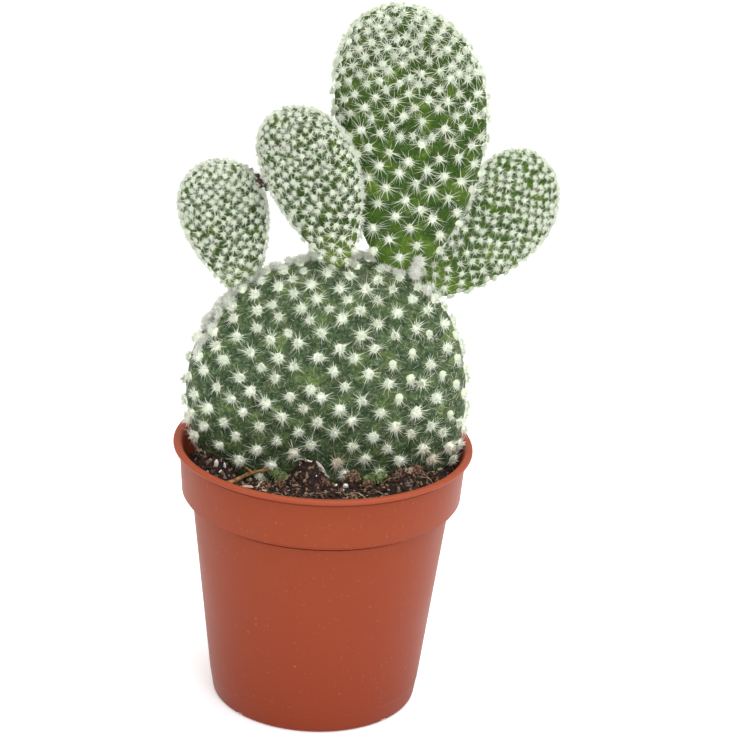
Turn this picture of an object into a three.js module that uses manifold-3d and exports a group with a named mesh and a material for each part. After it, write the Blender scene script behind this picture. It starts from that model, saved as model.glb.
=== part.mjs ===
/**
 * Potted paddle cactus: five flat pads set with white bristle tufts, standing in dark
 * soil in a terracotta-coloured plastic nursery pot.
 *
 * Units are millimetres and +Z is up. The origin is the centre of the pot's underside.
 * The broad faces of the pads look along -Y, and +X is to the right of that view.
 */
import * as THREE from 'three';
import { mergeVertices } from 'three/addons/utils/BufferGeometryUtils.js';
import Module from 'manifold-3d';

const wasm = await Module();
wasm.setup();

/** Clearance between pieces that touch. */
const GAP = 0.3;
/** Facets around the pot and the soil. */
const ROUND_SIDES = 48;
/** Golden ratio's fractional part, the turn from one areole to the next. */
const GOLDEN_TURN = (Math.sqrt(5) - 1) / 2;

/** Nursery pot: a tapered cup with an outstanding band and a rolled lip. */
const POT = {
  height: 77.5,
  lipRadius: 42.5,
  lipDepth: 1.9,
  lipInnerRadius: 40.5,
  bandTopRadius: 40.5,
  bandFootRadius: 39.4,
  bandFootHeight: 62.6,
  shoulderRadius: 36.3,
  shoulderHeight: 61.0,
  footRadius: 29.3,
  footRound: 1.2,
  mouldStepHeight: 6.0,
  mouldStep: 0.3,
  wall: 1.1,
  floorHeight: 2.6,
  channelHeight: 1.6,
  channelInner: 11,
  channelOuter: 24,
  bossRadius: 9.5,
  footRingInner: 25.5,
};

/** Drain holes through the floor's channel, and drain slots through the foot ring. */
const DRAIN = { holes: 6, holeRadius: 3, circle: 17.5, slots: 4, slotWidth: 4.2, slotHeight: 1.7 };

/** Soil filling the pot to just under the band's mouth. */
const SOIL = { level: 68.8, swell: 1.0, rings: [34, 28, 21.5, 14.5, 7.5] };

/**
 * Pads. joint is where the pad's lower end sits, tilt leans it to the right, lean
 * brings its tip towards the viewer, yaw turns its face, taper makes the tip broader
 * than the foot, bow bends its long axis sideways and squareness below 1 fills out
 * its outline. tufts counts the bristle tufts and crowding is how many times closer
 * they stand at the tip than at the foot.
 */
const PADS = {
  pad_base: {
    joint: [10.2, 0, 49.8], tilt: -7.9, lean: 0, yaw: 0,
    length: 84, width: 78.4, thickness: 26, taper: 0.064, bow: -4.4, squareness: 0.9,
    facets: 5, tufts: 240, crowding: 1.15,
  },
  pad_tall: {
    joint: [19.8, -1.5, 128.1], tilt: -4.4, lean: 0, yaw: 3,
    length: 75.3, width: 40.0, thickness: 13, taper: 0.3, bow: 4.8, squareness: 1,
    facets: 5, tufts: 212, crowding: 1.5,
  },
  pad_left_mid: {
    joint: [2.9, -4.2, 131.7], tilt: -20.6, lean: 6, yaw: -10,
    length: 47.8, width: 25.2, thickness: 12, taper: 0.34, bow: 1.35, squareness: 1,
    facets: 4, tufts: 172, crowding: 1.6,
  },
  pad_left_small: {
    joint: [-23.8, 0.5, 122.2], tilt: -15.2, lean: 0, yaw: 8,
    length: 37.1, width: 24.0, thickness: 11, taper: 0.35, bow: 0.25, squareness: 1,
    facets: 4, tufts: 132, crowding: 1.4,
  },
  pad_right: {
    joint: [26.0, 5.1, 121.5], tilt: 40.7, lean: -12, yaw: 10,
    length: 49.7, width: 27.0, thickness: 12, taper: 0.35, bow: 3.3, squareness: 1,
    facets: 4, tufts: 170, crowding: 1.5,
  },
};

/** Exponent that makes a pad's rim blunter than an ellipse. */
const RIM_BLUNTNESS = 0.8;

/** Bristle tuft: a slim pyramid whose root is sunk in the skin, clear of other pads. */
const TUFT = { radius: 1.1, height: 2.0, root: 1.3, sides: 3, spare: 0.35 };

/** Nearest a tuft may stand to the soil, to the height of the rim and to its mouth. */
const CLEAR = { soil: 3, rim: 1.5, mouth: 1.6 };

/** Closed solid from a geometry, with coincident points joined. */
function toSolid(geometry) {
  const bare = geometry.clone();
  bare.deleteAttribute('normal');
  bare.deleteAttribute('uv');
  const merged = mergeVertices(bare, 1e-4);
  const index = merged.index.array;
  const triangles = [];
  for (let i = 0; i < index.length; i += 3) {
    const [a, b, c] = [index[i], index[i + 1], index[i + 2]];
    if (a !== b && b !== c && c !== a) {
      triangles.push(a, b, c);
    }
  }
  return new wasm.Manifold(new wasm.Mesh({
    numProp: 3,
    vertProperties: merged.attributes.position.array,
    triVerts: new Uint32Array(triangles),
  }));
}

/** Flat-shaded geometry from a closed solid. */
function toGeometry(solid) {
  const mesh = solid.getMesh();
  const joined = new THREE.BufferGeometry();
  joined.setAttribute('position', new THREE.BufferAttribute(mesh.vertProperties, 3));
  joined.setIndex(new THREE.BufferAttribute(mesh.triVerts, 1));
  const flat = joined.toNonIndexed();
  flat.computeVertexNormals();
  return flat;
}

/** Named mesh with its own material. */
function piece(name, solid, color, roughness) {
  const material = new THREE.MeshStandardMaterial({ color, roughness, metalness: 0 });
  material.name = name;
  const mesh = new THREE.Mesh(toGeometry(solid), material);
  mesh.name = name;
  return mesh;
}

/** Solid turned about +Z from [radius, height] pairs. */
function turned(profile) {
  const points = profile.map(([radius, height]) => new THREE.Vector2(radius, height));
  return new THREE.LatheGeometry(points, ROUND_SIDES).rotateX(Math.PI / 2);
}

/** Profile moved sideways by a distance, to the left of its direction of travel. */
function offsetProfile(profile, distance) {
  const side = (a, b) => {
    const along = new THREE.Vector2(b[0] - a[0], b[1] - a[1]).normalize();
    return new THREE.Vector2(-along.y, along.x);
  };
  return profile.map((point, i) => {
    const before = side(profile[Math.max(i - 1, 0)], profile[Math.max(i, 1)]);
    const last = profile.length - 1;
    const after = side(profile[Math.min(i, last - 1)], profile[Math.min(i + 1, last)]);
    const middle = before.clone().add(after).normalize();
    const reach = distance / middle.dot(before);
    return [point[0] + middle.x * reach, point[1] + middle.y * reach];
  });
}

/** Inside of the pot, from the centre of its floor up to the lip's inner edge. */
function potInside() {
  const slope = (POT.shoulderRadius - POT.footRadius) / POT.shoulderHeight;
  return [
    [0, POT.floorHeight],
    [POT.footRadius + slope * POT.floorHeight - POT.wall, POT.floorHeight],
    [POT.shoulderRadius - POT.wall, POT.shoulderHeight - 0.8],
    [POT.bandFootRadius - POT.wall, POT.bandFootHeight - 0.4],
    [POT.bandTopRadius - POT.wall, POT.height - POT.lipDepth - 0.2],
    [POT.lipInnerRadius, POT.height - 0.5],
  ];
}

/** Pot with its foot ring, drain holes and drain slots. */
function buildPot() {
  const stepRadius = POT.footRadius
    + (POT.shoulderRadius - POT.footRadius) * POT.mouldStepHeight / POT.shoulderHeight;
  const outside = [
    [0, 0],
    [POT.bossRadius, 0],
    [POT.channelInner, POT.channelHeight],
    [POT.channelOuter, POT.channelHeight],
    [POT.footRingInner, 0],
    [POT.footRadius - POT.footRound, 0],
    [POT.footRadius - 0.3, 0.4],
    [POT.footRadius, POT.footRound],
    [stepRadius, POT.mouldStepHeight - 0.3],
    [stepRadius + POT.mouldStep, POT.mouldStepHeight],
    [POT.shoulderRadius, POT.shoulderHeight],
    [POT.bandFootRadius - 0.3, POT.bandFootHeight - 0.7],
    [POT.bandFootRadius, POT.bandFootHeight],
    [POT.bandTopRadius, POT.height - POT.lipDepth],
    [POT.lipRadius - 0.4, POT.height - POT.lipDepth + 0.2],
    [POT.lipRadius, POT.height - POT.lipDepth + 0.7],
    [POT.lipRadius, POT.height - 0.5],
    [POT.lipRadius - 0.5, POT.height],
    [POT.lipInnerRadius + 0.4, POT.height],
  ];
  let pot = toSolid(turned([...outside, ...potInside().reverse()]));
  for (let i = 0; i < DRAIN.holes; i += 1) {
    const angle = (i + 0.5) * 2 * Math.PI / DRAIN.holes;
    const hole = new THREE.CylinderGeometry(DRAIN.holeRadius, DRAIN.holeRadius, 8, 16);
    hole.rotateX(Math.PI / 2);
    hole.translate(DRAIN.circle * Math.cos(angle), DRAIN.circle * Math.sin(angle), 2);
    pot = pot.subtract(toSolid(hole));
  }
  for (let i = 0; i < DRAIN.slots; i += 1) {
    const slot = new THREE.BoxGeometry(8, DRAIN.slotWidth, 2 * DRAIN.slotHeight);
    slot.translate(POT.footRadius - 1.5, 0, 0);
    slot.rotateZ((i + 0.5) * 2 * Math.PI / DRAIN.slots);
    pot = pot.subtract(toSolid(slot));
  }
  return pot;
}

/** Height of the soil's rough surface above its mean level. */
function soilSwell(x, y) {
  return SOIL.swell * (0.55 * Math.sin(0.29 * x + 0.8) * Math.cos(0.33 * y - 0.5)
    + 0.3 * Math.sin(0.71 * x - 0.52 * y + 1.9)
    + 0.25 * Math.cos(0.47 * x + 0.83 * y));
}

/** Soil with a plain hole for the foot of the lowest pad. */
function buildSoil(hole) {
  const wall = offsetProfile(potInside(), GAP);
  const [low, high] = [wall[3], wall[4]];
  const share = (SOIL.level - low[1]) / (high[1] - low[1]);
  const edge = low[0] + share * (high[0] - low[0]);
  const profile = [
    [0, POT.floorHeight + GAP],
    ...wall.slice(1, 4),
    [edge, SOIL.level],
    ...SOIL.rings.map((radius) => [radius, SOIL.level]),
    [0, SOIL.level],
  ];
  const geometry = turned(profile);
  const position = geometry.attributes.position;
  for (let i = 0; i < position.count; i += 1) {
    if (position.getZ(i) > SOIL.level - 0.01) {
      const [x, y] = [position.getX(i), position.getY(i)];
      const radius = Math.hypot(x, y);
      const fade = radius < 1e-6 || radius > edge - 0.1 ? 0.4 : 1;
      position.setZ(i, SOIL.level + fade * soilSwell(x, y));
    }
  }
  return toSolid(geometry).subtract(hole);
}

/** Turn of a pad from its own axes into the plant's. */
function padTurn(pad) {
  const turn = new THREE.Matrix4().makeRotationY(THREE.MathUtils.degToRad(pad.tilt));
  turn.multiply(new THREE.Matrix4().makeRotationX(THREE.MathUtils.degToRad(pad.lean)));
  turn.multiply(new THREE.Matrix4().makeRotationZ(THREE.MathUtils.degToRad(pad.yaw)));
  return turn.setPosition(...pad.joint);
}

/** Breadth of a pad at a level from -1 at its foot to 1 at its tip, without rounding. */
function padBreadth(pad, level) {
  const widest = (Math.sqrt(1 + 8 * pad.taper ** 2) - 1) / (4 * pad.taper);
  return (1 + pad.taper * level) / (Math.sqrt(1 - widest ** 2) * (1 + pad.taper * widest));
}

/** Point of a pad's skin, grown outwards, for a direction from the middle of a sphere. */
function skinPoint(pad, direction, grow = 0) {
  const { x, y, z } = direction;
  const breadth = padBreadth(pad, z);
  const rise = (1 + z) / 2;
  const across = (pad.width / 2 + grow) * Math.sign(x) * Math.abs(x) ** pad.squareness;
  const through = (pad.thickness / 2 + grow) * Math.sign(y) * Math.abs(y) ** RIM_BLUNTNESS;
  return new THREE.Vector3(
    across * breadth + pad.bow * 4 * rise * (1 - rise),
    through * breadth,
    (pad.length + 2 * grow) * rise - grow,
  ).applyMatrix4(padTurn(pad));
}

/** Whether a point lies inside a pad grown outwards. */
function isInside(pad, point, grow) {
  const local = point.clone().applyMatrix4(padTurn(pad).invert());
  const z = 2 * (local.z + grow) / (pad.length + 2 * grow) - 1;
  if (Math.abs(z) >= 1) {
    return false;
  }
  const rise = (1 + z) / 2;
  const breadth = padBreadth(pad, z);
  const across = Math.abs(local.x - pad.bow * 4 * rise * (1 - rise)) / breadth;
  const through = Math.abs(local.y) / breadth;
  const x = (across / (pad.width / 2 + grow)) ** (1 / pad.squareness);
  const y = (through / (pad.thickness / 2 + grow)) ** (1 / RIM_BLUNTNESS);
  return x * x + y * y + z * z < 1;
}

/** Smooth body of a pad without tufts, grown outwards. */
function padBody(pad, grow = 0) {
  const geometry = new THREE.IcosahedronGeometry(1, pad.facets);
  const position = geometry.attributes.position;
  for (let i = 0; i < position.count; i += 1) {
    const point = skinPoint(pad, new THREE.Vector3().fromBufferAttribute(position, i), grow);
    position.setXYZ(i, ...point);
  }
  return toSolid(geometry);
}

/** Unit direction at a level and an angle around the pad's long axis. */
function directionAt(level, angle) {
  const round = Math.sqrt(1 - level * level);
  return new THREE.Vector3(round * Math.cos(angle), round * Math.sin(angle), level);
}

/** Outward normal of a pad's skin at a direction. */
function skinNormal(pad, direction) {
  const step = 1e-3;
  const other = Math.abs(direction.z) > 0.9
    ? new THREE.Vector3(1, 0, 0) : new THREE.Vector3(0, 0, 1);
  const east = new THREE.Vector3().crossVectors(other, direction).normalize();
  const north = new THREE.Vector3().crossVectors(direction, east);
  const slope = (way) => {
    const ahead = direction.clone().addScaledVector(way, step).normalize();
    const behind = direction.clone().addScaledVector(way, -step).normalize();
    return skinPoint(pad, ahead).sub(skinPoint(pad, behind));
  };
  return slope(east).cross(slope(north)).normalize();
}

/** Place, between 0 and 1, at which a running total reaches a share of its end. */
function placeOfShare(totals, share) {
  const wanted = share * totals[totals.length - 1];
  let low = 0;
  while (totals[low + 1] < wanted) {
    low += 1;
  }
  return (low + (wanted - totals[low]) / (totals[low + 1] - totals[low])) / (totals.length - 1);
}

/**
 * Directions of a pad's areoles. They follow one spiral from foot to tip, each a golden
 * turn on from the last, spread so that equal areas of skin get equal numbers, apart
 * from the crowding towards the tip.
 */
function areoleDirections(pad) {
  const [rows, columns] = [96, 96];
  const around = [];
  const upward = [0];
  for (let r = 0; r < rows; r += 1) {
    const level = -1 + 2 * (r + 0.5) / rows;
    const half = 1 / rows;
    const totals = [0];
    for (let c = 0; c < columns; c += 1) {
      const angles = [c, c + 1].map((k) => 2 * Math.PI * k / columns);
      const low = angles.map((angle) => skinPoint(pad, directionAt(level - half, angle)));
      const high = angles.map((angle) => skinPoint(pad, directionAt(level + half, angle)));
      const diagonal = high[1].clone().sub(low[0]);
      const area = diagonal.cross(high[0].clone().sub(low[1])).length() / 2;
      totals.push(totals[c] + area);
    }
    const nearness = 1 + (pad.crowding - 1) * (level + 1) / 2;
    around.push(totals);
    upward.push(upward[r] + totals[columns] * nearness ** 2);
  }
  const directions = [];
  for (let i = 0; i < pad.tufts; i += 1) {
    const place = placeOfShare(upward, (i + 0.5) / pad.tufts);
    const totals = around[Math.min(rows - 1, Math.floor(place * rows))];
    const turn = placeOfShare(totals, (i * GOLDEN_TURN) % 1);
    directions.push(directionAt(2 * place - 1, 2 * Math.PI * turn));
  }
  return directions;
}

/** Tallest tuft that stays clear of the other pads, the soil and the pot, or 0. */
function clearHeight(name, foot, normal) {
  const heights = [1, 0.75, 0.5].map((share) => share * TUFT.height);
  const clear = heights.find((height) => {
    const tip = foot.clone().addScaledVector(normal, height);
    const nearRim = tip.z < POT.height + CLEAR.rim
      && Math.hypot(tip.x, tip.y) > POT.lipInnerRadius - CLEAR.mouth;
    if (foot.z < SOIL.level + CLEAR.soil || nearRim) {
      return false;
    }
    return Object.entries(PADS).every(([other, pad]) => (
      other === name || !isInside(pad, tip, height + TUFT.spare)));
  });
  return clear ?? 0;
}

/** Bristle tufts of a pad, as one solid each. */
function padTufts(name) {
  const pad = PADS[name];
  const tufts = [];
  for (const direction of areoleDirections(pad)) {
    const foot = skinPoint(pad, direction);
    const normal = skinNormal(pad, direction);
    const height = clearHeight(name, foot, normal);
    if (height > 0) {
      const cone = new THREE.ConeGeometry(TUFT.radius, height + TUFT.root, TUFT.sides);
      cone.translate(0, (height - TUFT.root) / 2, 0);
      const up = new THREE.Vector3(0, 1, 0);
      cone.applyQuaternion(new THREE.Quaternion().setFromUnitVectors(up, normal));
      cone.translate(foot.x, foot.y, foot.z);
      tufts.push(toSolid(cone));
    }
  }
  return tufts;
}

/** Pad with its tufts, its foot cut to sit on the pad below. */
function buildPad(name, seat) {
  const whole = wasm.Manifold.union([padBody(PADS[name]), ...padTufts(name)]);
  return seat ? whole.subtract(seat) : whole;
}

const seat = padBody(PADS.pad_base, GAP);
const plant = new THREE.Group();
plant.name = 'potted_paddle_cactus';
plant.add(
  piece('pot', buildPot(), 0xb1553a, 0.5),
  piece('soil', buildSoil(seat), 0x3a2b22, 0.95),
  piece('pad_base', buildPad('pad_base'), 0x3c5a3c, 0.7),
  piece('pad_tall', buildPad('pad_tall', seat), 0x4a7d2e, 0.65),
  piece('pad_left_mid', buildPad('pad_left_mid', seat), 0x7f9a6a, 0.7),
  piece('pad_left_small', buildPad('pad_left_small', seat), 0x86a072, 0.7),
  piece('pad_right', buildPad('pad_right', seat), 0x6f9348, 0.65),
);

export default plant;
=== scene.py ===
"""Looks for a potted paddle cactus: bristly green pads in dark peat in a terracotta-coloured pot.

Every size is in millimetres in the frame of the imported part, with +Z up and -Y towards the
viewer, and is turned to metres where a mesh is made.
"""

import logging
import math
from dataclasses import dataclass
from enum import Enum
from typing import Any

import bpy
import numpy as np
from mathutils import Matrix, Vector


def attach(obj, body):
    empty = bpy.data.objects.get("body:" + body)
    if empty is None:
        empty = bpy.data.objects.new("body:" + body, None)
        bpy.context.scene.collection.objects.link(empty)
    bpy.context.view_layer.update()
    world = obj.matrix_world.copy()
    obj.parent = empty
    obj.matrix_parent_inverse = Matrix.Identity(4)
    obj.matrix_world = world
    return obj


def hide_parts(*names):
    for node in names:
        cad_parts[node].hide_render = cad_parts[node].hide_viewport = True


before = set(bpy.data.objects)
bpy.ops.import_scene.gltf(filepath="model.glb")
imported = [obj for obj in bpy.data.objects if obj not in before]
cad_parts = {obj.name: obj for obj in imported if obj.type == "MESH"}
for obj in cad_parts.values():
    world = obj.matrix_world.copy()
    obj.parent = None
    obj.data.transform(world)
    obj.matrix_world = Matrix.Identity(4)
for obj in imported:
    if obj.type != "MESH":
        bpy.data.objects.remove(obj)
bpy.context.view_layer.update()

MM = 0.001
GOLDEN_TURN = (math.sqrt(5) - 1) / 2
ROOT = "root"
WHITE = (1.0, 1.0, 1.0, 1.0)
# Gaps that areoles, bristle tips and fallen hairs keep from the other pads.
AREOLE_GAP = 0.5
TIP_GAP = 0.15
STRAY_GAP = 1.5
WAVE_PEAK = 1.4
log = logging.getLogger("cactus")

Array = np.ndarray
Rng = np.random.Generator
Span = tuple[float, float]
Rows = tuple[tuple[float, ...], ...]
Corners = list[tuple[float, float, float]]
Shape = tuple[Array, Array]
Solid = tuple[Array, list[Any]]


class Mix(Enum):
    """Sockets of a Mix node that mixes colours, by their places."""

    FACTOR = 0
    A = 6
    B = 7
    RESULT = 2


def linear(code: str) -> tuple[float, float, float, float]:
    """Turns an sRGB hex colour to linear light.

    Args:
        code: Colour as six hex digits with a leading hash.

    Returns:
        Red, green, blue and an alpha of 1, in linear light.
    """
    parts = [int(code[i : i + 2], 16) / 255 for i in (1, 3, 5)]
    light = [p / 12.92 if p <= 0.04045 else ((p + 0.055) / 1.055) ** 2.4 for p in parts]
    return (light[0], light[1], light[2], 1.0)


def add_node(tree: bpy.types.NodeTree, kind: str, inputs: dict[Any, Any], **settings: Any) -> Any:
    """Adds one node with its settings and links.

    Args:
        tree: Node tree that gets the node.
        kind: Node's type name.
        inputs: Value or output socket for each input, by the input's name or place.
        settings: Node properties by name.

    Returns:
        The new node.
    """
    node = tree.nodes.new(kind)
    for name, value in settings.items():
        setattr(node, name, value)
    for key, value in inputs.items():
        socket = node.inputs[key.value if isinstance(key, Mix) else key]
        if isinstance(value, bpy.types.NodeSocket):
            tree.links.new(value, socket)
        else:
            socket.default_value = value
    return node


@dataclass(frozen=True)
class Noise:
    """Cloudy noise: the size of its clouds in millimetres, its detail, roughness and bend."""

    size: float
    detail: float
    roughness: float = 0.5
    bend: float = 0.0


@dataclass(frozen=True)
class Layer:
    """Share that goes from least to most while its pattern goes from start to stop.

    In a colour it mixes in the tint, or multiplies the colour where it has no tint.
    """

    pattern: str
    start: float
    stop: float
    tint: str = ""
    least: float = 0.0
    most: float = 1.0
    smooth: bool = False


@dataclass(frozen=True)
class Relief:
    """Fine relief: the pattern that it follows, its strength and its depth in millimetres."""

    pattern: str
    strength: float
    depth: float


def layered_material(
    name: str,
    base: str,
    noises: dict[str, Noise],
    attributes: tuple[str, ...],
    layers: list[Layer],
    roughness: Layer | float,
    relief: Relief | None,
    surface: dict[str, Any],
) -> bpy.types.Material:
    """Builds a node material: a base colour under layers that follow patterns.

    A pattern is a noise on Object coordinates, a number kept per vertex or the height.

    Args:
        name: Material's name.
        base: Colour under the layers.
        noises: Noises by pattern name.
        attributes: Names of the numbers kept per vertex.
        layers: Layers of the colour, from the lowest up.
        roughness: One roughness, or the layer that it follows.
        relief: Relief of the surface, if it has any.
        surface: Other values of the shader's sockets.

    Returns:
        The new material.
    """
    material = bpy.data.materials.new(name)
    material.use_nodes = True
    tree = material.node_tree
    tree.nodes.clear()
    place = add_node(tree, "ShaderNodeTexCoord", {}).outputs["Object"]
    patterns = {"height": add_node(tree, "ShaderNodeSeparateXYZ", {"Vector": place}).outputs["Z"]}
    for key in attributes:
        patterns[key] = add_node(tree, "ShaderNodeAttribute", {}, attribute_name=key).outputs["Fac"]
    for key, noise in noises.items():
        inputs = {
            "Vector": place,
            "Scale": 1 / (noise.size * MM),
            "Detail": noise.detail,
            "Roughness": noise.roughness,
            "Distortion": noise.bend,
        }
        patterns[key] = add_node(tree, "ShaderNodeTexNoise", inputs).outputs["Fac"]
    shares = []
    for layer in [*layers, roughness] if isinstance(roughness, Layer) else layers:
        inputs = {
            "Value": patterns[layer.pattern],
            "From Min": layer.start,
            "From Max": layer.stop,
            "To Min": layer.least,
            "To Max": layer.most,
        }
        curve = "SMOOTHSTEP" if layer.smooth else "LINEAR"
        span = add_node(tree, "ShaderNodeMapRange", inputs, interpolation_type=curve)
        shares.append(span.outputs["Result"])
    colour = linear(base)
    for layer, share in zip(layers, shares):
        inputs = {Mix.FACTOR: 1.0, Mix.A: colour, Mix.B: share}
        if layer.tint:
            inputs |= {Mix.FACTOR: share, Mix.B: linear(layer.tint)}
        blend = "MIX" if layer.tint else "MULTIPLY"
        mixed = add_node(tree, "ShaderNodeMix", inputs, data_type="RGBA", blend_type=blend)
        colour = mixed.outputs[Mix.RESULT.value]
    inputs = {
        "Base Color": colour,
        "Roughness": shares[-1] if isinstance(roughness, Layer) else roughness,
        **surface,
    }
    if relief:
        bump = {"Strength": relief.strength, "Distance": relief.depth * MM}
        bump["Height"] = patterns[relief.pattern]
        inputs["Normal"] = add_node(tree, "ShaderNodeBump", bump).outputs["Normal"]
    shader = add_node(tree, "ShaderNodeBsdfPrincipled", inputs).outputs["BSDF"]
    add_node(tree, "ShaderNodeOutputMaterial", {"Surface": shader})
    return material


def mesh_object(name: str, points: Array, faces: Array | list[Any]) -> bpy.types.Object:
    """Puts points and faces into a mesh object of the scene, in metres.

    Args:
        name: Object's name.
        points: Vertices in millimetres, one row each.
        faces: Vertex numbers of each face, turning outwards.

    Returns:
        The new object, at the origin.
    """
    mesh = bpy.data.meshes.new(name)
    corners = faces if isinstance(faces, list) else faces.tolist()
    mesh.from_pydata((points * MM).tolist(), [], corners)
    made = bpy.data.objects.new(name, mesh)
    bpy.context.scene.collection.objects.link(made)
    return made


def make_piece(
    name: str,
    points: Array,
    faces: Array | list[Any],
    material: bpy.types.Material,
    slot: str,
    values: dict[str, Array] | None = None,
    smooth: bool = True,
) -> bpy.types.Object:
    """Makes a mesh object that rides on the part, with its finish.

    Args:
        name: Object's name.
        points: Vertices in millimetres, one row each.
        faces: Vertex numbers of each face, turning outwards.
        material: Finish of the whole piece.
        slot: Not used.
        values: Numbers per vertex that the material reads, by attribute name.
        smooth: Whether faces are shaded smooth.

    Returns:
        The new object, at the origin.
    """
    piece = mesh_object(name, points, faces)
    mesh = piece.data
    mesh.polygons.foreach_set("use_smooth", np.full(len(mesh.polygons), smooth))
    for key, numbers in (values or {}).items():
        layer = mesh.attributes.new(key, "FLOAT", "POINT")
        layer.data.foreach_set("value", numbers.astype(np.float32))
    mesh.materials.append(material)
    mesh.update()
    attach(piece, ROOT)
    log.info("%s: %d faces", name, len(mesh.polygons))
    return piece


def closed_faces(rings: int, columns: int) -> list[list[int]]:
    """Faces of a surface of rings between two poles, turning outwards.

    The first vertex is the lower pole, then each ring follows from low to high, counted
    anticlockwise seen from above, and the last vertex is the upper pole.

    Args:
        rings: Number of rings.
        columns: Vertices in a ring.

    Returns:
        Quads between rings and triangles at the poles.
    """
    ring = np.arange(columns)
    turned = np.roll(ring, -1)
    lower = 1 + columns * np.arange(rings - 1)[:, None]
    quads = np.stack(
        [lower + ring, lower + turned, lower + columns + turned, lower + columns + ring], -1
    ).reshape(-1, 4)
    top = 1 + columns * (rings - 1)
    foot = np.stack([np.zeros_like(ring), 1 + turned, 1 + ring], -1)
    tip = np.stack([top + ring, top + turned, np.full_like(ring, top + columns)], -1)
    return quads.tolist() + foot.tolist() + tip.tolist()


def sphere_directions(rings: int, columns: int) -> Array:
    """Unit directions of a sphere's poles and rings, in the order of closed_faces.

    A direction at polar angle p and turn t is (sin p cos t, sin p sin t, cos p), with p
    running from the lower pole to the upper one in equal steps.

    Args:
        rings: Number of rings.
        columns: Directions in a ring.

    Returns:
        One unit direction a row.
    """
    polar = math.pi * (1 - np.arange(1, rings + 1)[:, None] / (rings + 1))
    turn = 2 * math.pi * np.arange(columns)[None, :] / columns
    ring = np.stack(
        [np.sin(polar) * np.cos(turn), np.sin(polar) * np.sin(turn), np.cos(polar) + 0 * turn], -1
    ).reshape(-1, 3)
    return np.vstack([[[0.0, 0.0, -1.0]], ring, [[0.0, 0.0, 1.0]]])


def triangles_of(faces: list[list[int]]) -> Array:
    """Splits quads and triangles into triangles only.

    Args:
        faces: Faces of three or four vertices.

    Returns:
        One triangle a row.
    """
    quads = np.array([f for f in faces if len(f) == 4])
    rest = np.array([f for f in faces if len(f) == 3])
    return np.vstack([quads[:, [0, 1, 2]], quads[:, [0, 2, 3]], rest])


def ball(rings: int, columns: int) -> Shape:
    """Directions and triangles of a ball with rings between two poles."""
    return sphere_directions(rings, columns), triangles_of(closed_faces(rings, columns))


def join_copies(points: Array, triangles: Array) -> Shape:
    """Joins copies of one small shape.

    Args:
        points: Points by copy and by vertex.
        triangles: Triangles of one copy.

    Returns:
        Points and triangles of all the copies.
    """
    count, each = points.shape[:2]
    faces = triangles[None] + (np.arange(count) * each)[:, None, None]
    return points.reshape(-1, 3), faces.reshape(-1, 3)


def unit(vectors: Array) -> Array:
    """Scales each row to length 1."""
    return vectors / np.maximum(np.linalg.norm(vectors, axis=-1, keepdims=True), 1e-12)


def side_frames(normals: Array) -> Shape:
    """Two directions square to each normal and to each other.

    Args:
        normals: Unit normals, one a row.

    Returns:
        The two sideways directions, one a row each.
    """
    helper = np.where(np.abs(normals[:, 2:3]) > 0.9, [[1.0, 0.0, 0.0]], [[0.0, 0.0, 1.0]])
    first = unit(np.cross(helper, normals))
    return first, np.cross(normals, first)


def ring_around(normals: Array, count: int) -> Array:
    """Directions square to each normal, in equal turns: cos t first + sin t second.

    Args:
        normals: Unit normals, one a row.
        count: Number of directions around each.

    Returns:
        Unit directions, by normal and by turn.
    """
    first, second = side_frames(normals)
    turn = 2 * math.pi * np.arange(count)[:, None] / count
    return np.cos(turn) * first[:, None] + np.sin(turn) * second[:, None]


def random_turns(count: int, rng: Rng) -> Array:
    """Random rotation matrices, from unit quaternions spread evenly.

    Args:
        count: Number of rotations.
        rng: Seeded random numbers.

    Returns:
        One 3 by 3 matrix for each.
    """
    w, x, y, z = unit(rng.normal(size=(count, 4))).T
    rows = [
        [1 - 2 * (y * y + z * z), 2 * (x * y - z * w), 2 * (x * z + y * w)],
        [2 * (x * y + z * w), 1 - 2 * (x * x + z * z), 2 * (y * z - x * w)],
        [2 * (x * z - y * w), 2 * (y * z + x * w), 1 - 2 * (x * x + y * y)],
    ]
    return np.moveaxis(np.array(rows), -1, 0)


def waves(points: Array, size: float, count: int, seed: int) -> Array:
    """Smooth random relief between about -1 and 1.

    It is the sum of sine waves that run in random directions, each about size long, over the
    root of their number and a usual peak.

    Args:
        points: Places, one a row.
        size: Length of a wave, in the points' own unit.
        count: Number of waves.
        seed: Seed of the random directions.

    Returns:
        One height for each place.
    """
    rng = np.random.default_rng(seed)
    ways = unit(rng.normal(size=(count, points.shape[-1])))
    ways *= 2 * math.pi / size * rng.uniform(0.7, 1.4, (count, 1))
    phase = rng.uniform(0, 2 * math.pi, count)
    return np.sin(points @ ways.T + phase).sum(-1) / math.sqrt(count) / WAVE_PEAK


def tubes(paths: Array, radius: Array, sides: int) -> Shape:
    """Closed round tubes along paths, each with a pointed cap at both ends.

    A ring's points are path + radius (cos t first + sin t second), where first and second
    stand square to the path's mean direction.

    Args:
        paths: Points of each path, by path and place.
        radius: Radius at each point, by path and place.
        sides: Points in a ring.

    Returns:
        Points and triangles of all the tubes.
    """
    count, length = paths.shape[:2]
    ring = ring_around(unit(paths[:, -1] - paths[:, 0]), sides)
    body = paths[:, :, None] + radius[..., None, None] * ring[:, None]
    low, high = (
        paths[:, end] + unit(paths[:, end] - paths[:, near]) * radius[:, end, None]
        for end, near in ((0, 1), (-1, -2))
    )
    points = np.concatenate([low[:, None], body.reshape(count, -1, 3), high[:, None]], 1)
    return join_copies(points, triangles_of(closed_faces(length, sides)))


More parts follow.
